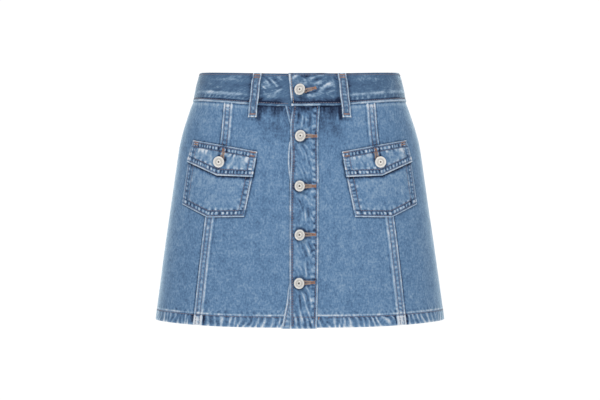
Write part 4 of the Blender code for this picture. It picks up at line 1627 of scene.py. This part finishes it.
class ShortsForm(BodyForm):
    """Form of one half of the shorts: inside the skirt above, a tube round one leg below."""

    depth_share = 0.93
    girth = 480.0

    def __init__(self, side: Side) -> None:
        """Reads the levels for one side of the wearer."""
        self.sign = float(side.value)
        self.ease, self.leg_share, self.inner_x = read_columns(SHORTS_LEVELS)

    def point(self, turn: Number, z: Number) -> Array:
        """Finds places on one half, from the centre front round to the centre back.

        Args:
            turn: turns, on the wearer's left.
            z: heights.

        Returns:
            The points.
        """
        turn, z = np.broadcast_arrays(self.sign * np.asarray(turn, float), np.asarray(z, float))
        ease, inner_x = self.ease(z), self.inner_x(z)
        seat = FORM.point(turn, z) - FORM.normal(turn, z) * ease[..., None]
        seat[..., 0] += SEAM_GAP / 2.0
        reach = (FORM.half_width(z) - ease - inner_x) / 2.0
        front, back = ((depth(z) - ease) * self.depth_share for depth in (FORM.front_depth, FORM.back_depth))
        around = (turn / math.pi - 0.5) * (math.tau - SEAM_GAP / front)
        depth = np.where(around < 0.0, front, back)
        leg = np.stack((inner_x + reach * (1.0 + np.cos(around)), depth * np.sin(around), z), axis=-1)
        place = seat + (leg - seat) * np.clip(self.leg_share(z), 0.0, 1.0)[..., None]
        return place * (self.sign, 1.0, 1.0)

    def arc(self, turn: Array, z: Number) -> Array:
        """Rough distance round one half."""
        return turn * self.girth / math.pi


@dataclass
class Shorts:
    """Plain inner shorts: a front and a back panel for each leg, open below."""

    denim: Material
    hem_z: float = -285.0
    width: float = 240.0
    length: float = 267.0
    spacing: float = 3.2
    seam_share: float = 0.0004

    def panel(self, first: float, last: float, side: Side, seed: int) -> Lay:
        """Lays out one panel.

        Args:
            first: share of the way round the leg at the panel's left edge.
            last: share at its right edge.
            side: the wearer's side.
            seed: number of its soft folds.

        Returns:
            The laid cloth.
        """
        shares = first + (last - first) * grid_shares(self.width, self.spacing)
        down, share = np.meshgrid(grid_shares(self.length, self.spacing), shares, indexing="ij")
        turn = share * math.pi
        top = FORM.waist_z(turn) - SEAM_GAP
        lay = Lay(turn, top + (self.hem_z - top) * down, 0.0, CLOTH, side, form=ShortsForm(side))
        above, along = lay.z - self.hem_z, lay.arc
        row = hump(above - 14.0, 0.9)
        rope = ripples(along + 0.5 * above, 6.5, seed + 1) * fade(13.0, 14.0, above)
        lift = 0.5 * drift(along / 50.0, lay.z / 80.0, seed) - 0.5 + 0.15 * rope - 0.2 * row
        lay.raise_all(lift * smooth(0.0, 0.02, np.minimum(share, 1.0 - share)))
        lay.wear += 0.22 * rope - 0.4 * row + 0.35 * hump(above, 1.6)
        lay.wear += 0.06 * drift(along / 10.0, lay.z / 14.0, seed + 2)
        return lay

    def build(self) -> None:
        """Makes the four panels."""
        front_end, back_start = 0.5 - self.seam_share, 0.5 + self.seam_share
        for number, side in enumerate(Side):
            for word, first, last, seed in (("front", 0.0, front_end, 800), ("back", back_start, 1.0, 840)):
                lay = self.panel(first, last, side, seed + 10 * number)
                make_sheet(f"shorts_{word}_{side.word}", lay, self.denim, "waistband", slot=Slot.SHORTS)


# ---- buttons

class Bench:
    """One mesh object on the bench, shaped by picking faces and working on them."""

    sharp = math.radians(28.0)

    def __init__(self, name: str) -> None:
        """Takes the active object, which a primitive operator has just made."""
        self.piece = bpy.context.object
        self.piece.name = self.piece.data.name = name

    @staticmethod
    def clear() -> None:
        """Deselects everything."""
        for thing in bpy.context.view_layer.objects:
            thing.select_set(False)

    def pick(self, test: Callable[[bmesh.types.BMFace], bool]) -> None:
        """Selects faces, in edit mode.

        Args:
            test: says whether a face is wanted.
        """
        if self.piece.mode != "EDIT":
            bpy.ops.object.mode_set(mode="EDIT")
        bpy.ops.mesh.select_mode(type="FACE")
        bpy.ops.mesh.select_all(action="DESELECT")
        mesh = bmesh.from_edit_mesh(self.piece.data)
        for face in mesh.faces:
            face.select_set(test(face))
        bmesh.update_edit_mesh(self.piece.data)

    def ring(self, thickness: float, rise: float) -> None:
        """Insets the picked face and moves the new face up."""
        bpy.ops.mesh.inset(thickness=thickness * MM)
        bpy.ops.transform.translate(value=(0.0, 0.0, rise * MM))

    def bevel(self, width: float, segments: int) -> None:
        """Rounds every sharp edge with a modifier, which is applied.

        Args:
            width: how far in the rounding starts.
            segments: its number of faces across.
        """
        bpy.ops.object.mode_set(mode="OBJECT")
        rounding = self.piece.modifiers.new("rounding", "BEVEL")
        rounding.width, rounding.segments = width * MM, segments
        rounding.limit_method, rounding.angle_limit = "ANGLE", self.sharp
        rounding.use_clamp_overlap = True
        bpy.ops.object.modifier_apply(modifier=rounding.name)

    def place(self, matrix: Matrix = Matrix()) -> Piece:
        """Puts the mesh in its place and leaves the object at the origin.

        Args:
            matrix: the place.

        Returns:
            The piece.
        """
        self.piece.data.transform(matrix @ self.piece.matrix_world)
        self.piece.matrix_world = Matrix()
        self.clear()
        return self.piece


def form_place(turn: float, z: float) -> tuple[Vector, Vector]:
    """Place on the form in metres, and the form's normal there."""
    return Vector((FORM.point(turn, z) * MM).tolist()), Vector(FORM.normal(turn, z).tolist())


@dataclass
class ShankButton:
    """Turned metal button, fastened: rolled rim, sunk ring, raised boss and a small dimple."""

    metal: Material
    name: str
    turn: float
    z: float
    seat_lift: float
    cap_lift: float
    radius: float
    tilt: Pair
    thickness: float = 1.5
    shank_radius: float = 2.2
    brim: float = 0.8
    back_step: float = 0.25
    rounding: float = 0.16
    crisp: float = math.radians(38.0)
    rings: Path = (
        (0.45, 0.28), (0.95, 0.02), (0.35, -0.62), (0.95, -0.04), (0.16, 0.14), (0.20, 0.0), (0.16, -0.14),
        (0.75, 0.02), (0.28, 0.40), (0.60, 0.14), (1.05, 0.08), (0.22, -0.30), (0.35, -0.45),
    )

    def build(self) -> None:
        """Models the button and seats it on its cloth."""
        Bench.clear()
        middle = self.thickness / 2.0 * MM
        bpy.ops.mesh.primitive_cylinder_add(
            vertices=48, radius=self.radius * MM, depth=self.thickness * MM, location=(0.0, 0.0, middle),
        )
        bench = Bench(f"{self.name}_metal")
        bench.pick(lambda face: face.normal.z > 0.9 and face.calc_center_median().z > middle)
        for thickness, rise in self.rings:
            bench.ring(thickness, rise)
        bench.pick(lambda face: face.normal.z < -0.9 and face.calc_center_median().z < 0.1 * MM)
        bench.ring(self.brim, 0.0)
        bench.ring(self.radius - self.shank_radius - self.brim, self.back_step)
        rise = self.radius * math.sin(math.radians(max(map(abs, self.tilt))))
        shank = (self.cap_lift + rise - self.seat_lift + self.back_step) * MM
        bpy.ops.mesh.extrude_region_move(TRANSFORM_OT_translate={"value": (0.0, 0.0, -shank)})
        bench.bevel(self.rounding, 2)
        bpy.ops.object.shade_smooth_by_angle(angle=self.crisp)
        self.mark_recess(bench.piece.data)
        place, normal = form_place(self.turn, self.z)
        side = Vector((0.0, 0.0, 1.0)).cross(normal).normalized()
        seat = Matrix((side, normal.cross(side), normal)).transposed().to_4x4()
        seat.translation = place + normal * (self.cap_lift + rise) * MM
        for angle, axis in zip(self.tilt, "XY"):
            seat = seat @ Matrix.Rotation(math.radians(angle), 4, axis)
        dress(bench.place(seat), self.metal, Slot.METAL, self.name)

    @staticmethod
    def mark_recess(mesh: bpy.types.Mesh) -> None:
        """Marks the sunk places, where the metal stays dull, and the outer edge, where shade is painted.

        Args:
            mesh: the button's mesh, still upright at the origin.
        """
        places = np.empty(len(mesh.vertices) * 3, np.float32)
        mesh.vertices.foreach_get("co", places)
        radius = np.hypot(places[0::3], places[1::3])
        share = radius / radius.max()
        ring = 0.42 * smooth(0.36, 0.44, share) * fade(0.68, 0.78, share)
        # The rim term is painted shade along the button's outer edge
        dimple, rim = 1.3 * fade(0.8 * MM, 1.4 * MM, radius), 0.40 * smooth(0.95, 1.0, share)
        value = np.maximum.reduce((ring, dimple, rim))
        mesh.attributes.new("recess", "FLOAT", "POINT").data.foreach_set("value", value.astype(np.float32))


class ButtonPlace(NamedTuple):
    """Button's place in the front view, its radius and its two leans in degrees."""

    x: float
    z: float
    radius: float
    lean: float
    roll: float


@dataclass
class Buttons:
    """Waist button, four front buttons and one on each flap."""

    metal: Material
    waist: ButtonPlace = ButtonPlace(0.5, -10.0, 7.4, 0.0, -25.0)
    flap: ButtonPlace = ButtonPlace(101.2, -101.8, 7.2, 9.0, -15.0)
    front: tuple[ButtonPlace, ...] = (
        ButtonPlace(1.3, -69.2, 7.4, -3.0, -25.0), ButtonPlace(0.5, -132.6, 6.9, 2.0, -22.0),
        ButtonPlace(0.5, -194.9, 6.9, -2.0, -23.0), ButtonPlace(-0.3, -256.1, 6.9, 3.0, -21.0),
    )

    def build(self) -> None:
        """Makes every button: its place, its side, and the lifts of its seat and of what it holds."""
        band, flap = BAND_PROUD + SEAM_GAP, 3.0 * LAY_GAP + CLOTH + FLAP_WALL
        rows = [("waist", self.waist, 1, band, band + BAND_WALL + LAY_GAP)]
        for number, place in enumerate(self.front, start=1):
            rows.append((f"front_{number}", place, 1, SEAM_GAP, 2.0 * LAY_GAP + PLACKET_WALL))
        for side in Side:
            rows.append((f"flap_{side.word}", self.flap, side.value, LAY_GAP + CLOTH + SEAM_GAP, flap))
        for name, place, sign, seat, cap in rows:
            turn, tilt = sign * float(FORM.turn_at(place.x, place.z)), (place.lean, sign * place.roll)
            ShankButton(self.metal, f"button_{name}", turn, place.z, seat, cap, place.radius, tilt).build()
        log.info("%d buttons", len(rows))


# ---- sewing

class Stitch(NamedTuple):
    """One stitch, in metres: its two ends, the cloth's normal there, and the thread's width."""

    start: Vector
    end: Vector
    normal: Vector
    width: float


@dataclass(kw_only=True)
class Sewing:
    """Machine that finds the cloth's surface and lays stitches on it, as joined meshes."""

    cloth: dict[str, Piece]
    reach_above: float = 14.0
    reach_through: float = 20.0
    pitch: float = 3.3
    thread_width: float = 1.05
    stitch_shares: Pair = (0.02, 0.96)
    bar_pitch: float = 0.42
    bar_thread: float = 0.55
    thread_lift: float = 0.12

    def __post_init__(self) -> None:
        """Models the one stitch that every row repeats."""
        self.bead = model_bead()
        self.surface: BVHTree | None = None
        self.stitches: list[Stitch] = []

    def over(self, *names: str) -> None:
        """Puts pieces under the needle.

        Args:
            names: their nodes' names.
        """
        points, faces = [], []
        for mesh in (self.cloth[name].data for name in names):
            shift = len(points)
            points.extend(vertex.co.copy() for vertex in mesh.vertices)
            faces.extend(tuple(shift + v for v in face.vertices) for face in mesh.polygons)
        self.surface = BVHTree.FromPolygons(points, faces)

    def stitch(self, holes: Sequence[Pair], width: float, longest: float = math.inf) -> None:
        """Lays one stitch, unless the needle misses the cloth or lands on another layer.

        Args:
            holes: turn and height of both needle holes.
            width: the thread's width.
            longest: longest stitch that stays on one layer.
        """
        ends = []
        for turn, z in holes:
            place, normal = form_place(turn, z)
            above = place + normal * self.reach_above * MM
            hit = self.surface.ray_cast(above, -normal, self.reach_through * MM)
            if hit[0] is None:
                return
            ends.append(hit)
        (start, first, *_), (end, last, *_) = ends
        if (start - end).length <= longest * MM:
            self.stitches.append(Stitch(start, end, (first + last).normalized(), width * MM))

    def row(self, turns: Array, heights: Array, pitch: float | None = None) -> None:
        """Sews a row along a line on the form.

        Args:
            turns: turns of the line's points.
            heights: their heights.
            pitch: distance from one stitch to the next, where it isn't the usual one.
        """
        steps = np.linalg.norm(np.diff(FORM.point(turns, heights), axis=0), axis=1)
        way = np.concatenate(([0.0], np.cumsum(steps)))
        count = max(int(way[-1] / (pitch or self.pitch)), 1)
        real = way[-1] / count
        for number in range(count):
            at = [(number + share) * real for share in self.stitch_shares]
            holes = zip(np.interp(at, way, turns), np.interp(at, way, heights))
            self.stitch(list(holes), self.thread_width, 1.6 * real)

    def bar(self, turn: float, z: float, size: Pair, lean: float = 0.0) -> None:
        """Sews a dense bar of thin stitches side by side.

        Args:
            turn: turn of the bar's middle.
            z: its height.
            size: length of the bar, and length of each stitch across it.
            lean: angle of the bar from level.
        """
        length, reach = size
        span = float(FORM.span(turn, z))
        lean_way = complex(math.cos(lean), math.sin(lean))
        for along in np.linspace(-0.5, 0.5, max(int(length / self.bar_pitch), 2) + 1) * length:
            ends = [complex(along, across) * lean_way for across in (-reach / 2.0, reach / 2.0)]
            self.stitch([(turn + end.real / span, z + end.imag) for end in ends], self.bar_thread)

    def finish(self, name: str, thread: Material, slot: Slot) -> None:
        """Joins the stitches sewn so far into one piece and starts afresh.

        Args:
            name: the piece's name.
            thread: its finish.
            slot: its slot in the record.
        """
        source = np.array([vertex.co for vertex in self.bead.vertices])
        faces = [tuple(face.vertices) for face in self.bead.polygons]
        frames, origins = [], []
        for stitch in self.stitches:
            along = stitch.end - stitch.start
            side = stitch.normal.cross(along).normalized()
            up = along.normalized().cross(side)
            frames.append((along, side * stitch.width, up * stitch.width))
            origins.append((stitch.start + stitch.end) / 2.0 + up * stitch.width * self.thread_lift)
        placed = np.einsum("vk,skc->svc", source, np.array(frames)) + np.array(origins)[:, None, :]
        shifts = range(0, len(self.stitches) * len(source), len(source))
        joined = [tuple(shift + v for v in face) for shift in shifts for face in faces]
        mesh = bpy.data.meshes.new(name)
        mesh.from_pydata(placed.reshape(-1, 3).tolist(), [], joined)
        dress(new_piece(name, mesh), thread, slot)
        log.info("%s: %d stitches", name, len(self.stitches))
        self.stitches.clear()


def model_bead() -> bpy.types.Mesh:
    """Models one stitch as a bead of unit length and width, whose ends dip into the cloth.

    Returns:
        Its mesh, along X.
    """
    Bench.clear()
    level = (0.0, math.pi / 2.0, 0.0)
    bpy.ops.mesh.primitive_uv_sphere_add(segments=6, ring_count=5, radius=0.5, rotation=level)
    piece = Bench("stitch_bead").place()
    for vertex in piece.data.vertices:
        stretch = math.copysign(min(abs(vertex.co.x) * 1.25, 0.5), vertex.co.x)
        vertex.co = (stretch, vertex.co.y, vertex.co.z * 0.8 - 6.4 * stretch ** 4)
    mesh = piece.data
    bpy.data.objects.remove(piece)
    return mesh


def inset_line(path: Path, inset: float, side: Side) -> Places:
    """Draws the line that runs beside a path of the front view.

    Args:
        path: corners of the path.
        inset: distance to its left side.
        side: the wearer's side.

    Returns:
        Turns and heights of the line.
    """
    corners = [Vector(corner) for corner in path]
    ways = [(end - start).normalized() for start, end in zip(corners, corners[1:])]
    asides = [Vector((-way.y, way.x)) * inset for way in ways]
    places = [corners[0] + asides[0]]
    for way, other, corner, aside, next_aside in zip(ways, ways[1:], corners[1:], asides, asides[1:]):
        places.append(corner + aside + way * ((next_aside - aside).cross(other) / way.cross(other)))
    places.append(corners[-1] + asides[-1])
    line = np.concatenate([np.linspace(start, end, 30) for start, end in zip(places, places[1:])])[1:-1]
    return side.value * FORM.turn_at(line[:, 0], line[:, 1]), line[:, 1]


@dataclass(kw_only=True)
class Threadwork(Sewing):
    """Every row of thread, bartack and buttonhole.

    A reach is where a row starts and ends, gaps and shifts are distances from an edge or a seam,
    and a tack is its length and its stitches' length.
    """

    loops: dict[str, float]
    tonal: Material
    orange: Material
    tan: Material
    seam_shifts: Pair = (-Fell.row, Fell.row)
    princess_reach: Pair = (-26.0, -309.5)
    centre_back_reach: Pair = (-18.0, -306.0)
    hem_reaches: tuple[Pair, ...] = ((-math.pi, -0.115), (0.19, math.pi))
    hem_pitch: float = 3.4
    placket_reach: Pair = (-30.0, -310.5)
    placket_lines: tuple[tuple[UprightLine, float], ...] = (
        (FREE_EDGE, 1.7), (FREE_EDGE, 3.2), (SEWN_EDGE, -2.1),
    )
    foot_start: Pair = (-298.5, 3.4)
    foot_reach: float = 0.21
    stand_gap: float = 2.5
    band_reach: Pair = (-0.075, math.tau - 0.10)
    band_gap: float = 3.6
    rim_gap: float = 2.6
    over_end_turn: float = -0.05
    over_end_gap: float = 2.9
    pocket_insets: Pair = (2.3, 8.2)
    loop_shifts: Pair = (-3.1, 3.1)
    loop_reach: Pair = (6.5, 52.5)
    loop_pitch: float = 3.0
    loop_drops: tuple[float, ...] = (2.7, 5.8, 53.4)
    loop_tack: Pair = (7.8, 1.7)
    flap_tacks: Path = ((59.4, -89.3), (60.0, -93.9), (132.4, -75.7), (132.8, -78.5))
    flap_tack: Pair = (7.6, 1.9)
    flap_lean: float = 0.18
    foot_place: Pair = (24.2, -300.0)
    foot_tack: Pair = (3.4, 1.8)
    foot_lean: float = 1.4
    arm_parts: tuple[tuple[float, float, float], ...] = ((0.0, 0.66, 2.9), (0.60, 1.0, 2.1))
    arm_gap: float = 1.7
    arm_slant: float = 0.9
    end_bar: Pair = (1.8, 2.2)

    def skirt_rows(self) -> None:
        """Hem rows, felled seams and the centre back."""
        z = np.linspace(*self.princess_reach, 200)
        for side in Side:
            self.over(f"front_{side.word}_centre")
            for shift in self.seam_shifts:
                self.row(side.value * PRINCESS_SEAM.turn(z, shift), z)
        self.over(*(name for name in self.cloth if name.startswith(("front", "back"))))
        z = np.linspace(*self.centre_back_reach, 200)
        for shift in self.seam_shifts:
            self.row(FORM.nudge(math.pi, z, shift), z)
        for reach in self.hem_reaches:
            turns = np.linspace(*reach, 900)
            self.row(turns, FORM.hem_z(turns) + HEM_FOLD, self.hem_pitch)
        self.finish("stitches_skirt", self.tonal, Slot.THREAD)

    def placket_rows(self) -> None:
        """Rows inside both edges of the placket, and along the stand's fold."""
        self.over("placket_outer")
        z = np.linspace(*self.placket_reach, 200)
        for edge, shift in self.placket_lines:
            self.row(edge.turn(z, shift), z)
        turns = FREE_EDGE.turn(*self.foot_start) + np.linspace(0.0, self.foot_reach, 40)
        self.row(turns, FORM.hem_z(turns) + HEM_FOLD)
        self.over("placket_inner")
        self.row(UNDER_SEAM.turn(z, self.stand_gap), z)
        self.finish("stitches_placket", self.tonal, Slot.THREAD)

    def band_rows(self) -> None:
        """Rows along both edges of the waistband and down its over end."""
        self.over("waistband")
        turns = np.linspace(*self.band_reach, 1200)
        self.row(turns, FORM.waist_z(turns) + self.band_gap)
        self.row(turns, FORM.rim_z(turns) - self.rim_gap)
        self.finish("stitches_waistband", self.tonal, Slot.THREAD)
        x = np.linspace(Waistband.over_end_bottom_x, Waistband.over_end_top_x, 40)
        z = np.linspace(FORM.waist_z(self.over_end_turn), FORM.rim_z(self.over_end_turn), 40)
        self.row(FORM.nudge(FORM.turn_at(x, 0.0), z, self.over_end_gap), z)
        self.finish("stitches_over_end", self.tan, Slot.THREAD)

    def pocket_rows(self) -> None:
        """Double rows round the pockets and flaps."""
        for side in Side:
            pocket, flap = f"pocket_{side.word}", f"flap_{side.word}"
            for inset in self.pocket_insets:
                self.over(pocket)
                self.row(*inset_line(POCKET_BOTTOM.around(POCKET_TOP), inset, side))
                self.over(pocket, flap)
                self.row(*inset_line(FLAP_BOTTOM.around(FLAP_TOP), inset, side))
                self.row(*inset_line(FLAP_TOP.corners, -inset, side))
        self.finish("stitches_pockets", self.tonal, Slot.THREAD)

    def loop_rows(self) -> None:
        """Rows inside the edges of the belt loops, and bartacks at their ends."""
        self.over(*self.loops)
        rims = [(turn, float(FORM.rim_z(turn))) for turn in self.loops.values()]
        for turn, rim in rims:
            z = np.linspace(*(rim - drop for drop in self.loop_reach), 40)
            for shift in self.loop_shifts:
                self.row(FORM.nudge(turn, z, shift), z, self.loop_pitch)
        self.finish("stitches_loops", self.tonal, Slot.THREAD)
        for turn, rim in rims:
            for drop in self.loop_drops:
                self.bar(turn, rim - drop, self.loop_tack)
        self.finish("bartacks_loops", self.orange, Slot.BRIGHT)

    def bartacks(self) -> None:
        """Bartacks at the flaps' upper corners and at the placket's foot."""
        self.over("flap_left", "flap_right", "front_left_centre", "placket_outer")
        for sign in (side.value for side in Side):
            for x, z in self.flap_tacks:
                self.bar(sign * float(FORM.turn_at(x, z)), z, self.flap_tack, sign * self.flap_lean)
        x, z = self.foot_place
        self.bar(float(FORM.turn_at(x, z)), z, self.foot_tack, self.foot_lean)
        self.finish("bartacks_front", self.orange, Slot.BRIGHT)

    def buttonholes(self) -> None:
        """Buttonholes: two satin arms that open towards the button, and a bar at the end.

        An arm's part has its first and last share of the hole, and its stitches' length.
        """
        self.over("placket_outer", "waistband", "flap_left", "flap_right")
        holes = [(hole, 1) for hole in (WAIST_HOLE, *FRONT_HOLES)]
        holes += [(FLAP_HOLE, side.value) for side in Side]
        for first, last, reach in self.arm_parts:
            for hole, sign in holes:
                start, way, aside = hole.axes()
                for arm in (aside, -aside):
                    ends = (
                        start + way * share + arm * (self.arm_slant * share - self.arm_gap)
                        for share in (first, last)
                    )
                    self.satin(*ends, reach, sign)
            if last < 1.0:
                self.finish("buttonholes", self.tan, Slot.BRIGHT)
        for hole, sign in holes:
            start, way, aside = hole.axes()
            half, reach = self.end_bar
            self.satin(start + way - aside * half, start + way + aside * half, reach, sign)
        self.finish("buttonhole_bars", self.orange, Slot.BRIGHT)

    def satin(self, start: Vector, end: Vector, reach: float, sign: int) -> None:
        """Sews a bar between two places of the front view.

        Args:
            start: one end of the bar.
            end: its other end.
            reach: length of each stitch across it.
            sign: 1 where it is sewn as it stands, -1 for its mirror image.
        """
        middle, way = (start + end) / 2.0, end - start
        lean = math.atan2(way.y, way.x)
        turn = sign * float(FORM.turn_at(middle.x, middle.y))
        self.bar(turn, middle.y, (way.length, reach), lean if sign > 0 else math.pi - lean)

    def build(self) -> None:
        """Sews everything."""
        for job in (self.skirt_rows, self.placket_rows, self.band_rows, self.pocket_rows, self.loop_rows):
            job()
        self.bartacks()
        self.buttonholes()
        bpy.data.meshes.remove(self.bead)


# ---- studio

@dataclass
class Studio:
    """White studio, in metres: pale floor well below the garment, soft light, a level camera.

    A lamp has a name, a place, the height that it is aimed at, a size, a power and a colour.
    """

    floor_z: float = -3.2
    floor_size: float = 40.0
    eye: tuple[float, float, float] = (0.0005, -2.60, -0.150)
    lens: float = 117.3
    sensor: float = 36.0
    sky: float = 0.34
    backdrop: float = 1.05
    white: Colour = (1.0, 1.0, 1.0, 1.0)
    lamps: tuple[tuple, ...] = (
        ("key", (-0.55, -2.0, 1.75), -0.13, 1.1, 30.0, (1.0, 1.0, 1.0)),
        ("fill", (1.2, -2.3, 0.4), -0.15, 1.8, 8.0, (1.0, 1.0, 1.0)),
        ("edge_left", (1.15, 1.85, 0.1), -0.15, 1.0, 20.0, (0.90, 1.0, 0.98)),
        ("edge_right", (-1.15, 1.85, 0.1), -0.15, 1.0, 20.0, (0.90, 1.0, 0.98)),
    )

    def build(self) -> None:
        """Sets up floor, light, camera and colour management."""
        Bench.clear()
        bpy.ops.mesh.primitive_plane_add(size=self.floor_size, location=(0.0, 0.0, self.floor_z))
        floor = Bench("floor").place()
        material = bpy.data.materials.new("pale_floor")
        material.use_nodes = True
        Wire(material.node_tree, None).feed(material.node_tree.nodes["Principled BSDF"], {
            "Base Color": (0.9, 0.9, 0.9, 1.0),
            "Roughness": 0.9,
            "Emission Color": self.white,
            "Emission Strength": 0.68,
        })
        floor.data.materials.append(material)
        self.world()
        for name, place, aim_z, size, power, colour in self.lamps:
            data = bpy.data.lights.new(name, "AREA")
            data.energy, data.size, data.color = power, size, colour
            aim = Vector((0.0, 0.0, aim_z)) - Vector(place)
            self.stand(name, data, place).rotation_euler = aim.to_track_quat("-Z", "Y").to_euler()
        data = bpy.data.cameras.new("camera")
        data.sensor_width, data.lens = self.sensor, self.lens
        camera = self.stand("camera", data, self.eye)
        camera.rotation_euler = (math.radians(90.0), 0.0, 0.0)
        scene = bpy.context.scene
        scene.camera = camera
        scene.view_settings.view_transform, scene.view_settings.look = "Standard", "None"

    @staticmethod
    def stand(name: str, data: bpy.types.ID, place: tuple[float, float, float]) -> Piece:
        """Stands a lamp or a camera in the studio.

        Args:
            name: its name.
            data: the lamp or camera.
            place: where it stands.

        Returns:
            The new object.
        """
        thing = bpy.data.objects.new(name, data)
        thing.location = place
        bpy.context.scene.collection.objects.link(thing)
        return thing

    def world(self) -> None:
        """White all round: full white to the eye, and a softer sky as light."""
        world = bpy.data.worlds.new("white")
        world.use_nodes = True
        bpy.context.scene.world = world
        tree = world.node_tree
        sky = Wire(tree, tree.nodes["Background"].outputs[0])
        sky.feed(tree.nodes["Background"], {0: self.white, 1: self.sky})
        white = sky.node("ShaderNodeBackground", inputs={0: self.white, 1: self.backdrop})
        seen = sky.node("ShaderNodeLightPath", "Is Camera Ray")
        mixed = sky.node("ShaderNodeMixShader", inputs={0: seen, 1: sky, 2: white})
        sky.feed(tree.nodes["World Output"], {0: mixed})


# ---- the whole garment


def main() -> None:
    """Makes the studio and then the garment, piece by piece."""
    logging.basicConfig(level=logging.INFO, format="%(message)s", stream=sys.stdout)
    Studio().build()
    denim = Denim("denim").build()
    band_denim = Denim("denim_band", cloth=srgb(86, 117, 150)).build()
    shorts_denim = Denim("denim_shorts").build()
    tonal = SewingThread("thread_tonal", srgb(84, 84, 104), srgb(136, 132, 150)).build()
    orange = SewingThread("thread_orange", srgb(126, 92, 78), srgb(186, 142, 120)).build()
    tan = SewingThread("thread_tan", srgb(112, 92, 84), srgb(200, 174, 158)).build()
    metal = ButtonMetal("button_metal").build()
    pieces = SkirtPanels(denim).build() + Placket(denim).build() + Waistband(band_denim).build()
    for side in Side:
        pieces += PatchPocket(denim, side).build()
    loops = {
        f"belt_loop_{word}_{side.word}": side.value * turn
        for word, turn in (("front", FRONT_LOOP_TURN), ("back", BACK_LOOP_TURN)) for side in Side
    }
    loops["belt_loop_back_centre"] = math.pi
    for number, (name, turn) in enumerate(loops.items()):
        pieces.append(BeltLoop(band_denim, name, turn, 550 + 3 * number).build())
    Shorts(shorts_denim).build()
    Buttons(metal).build()
    cloth = {piece.name.removesuffix("_cloth"): piece for piece in pieces}
    Threadwork(cloth=cloth, loops=loops, tonal=tonal, orange=orange, tan=tan).build()


if __name__ == "__main__":
    main()
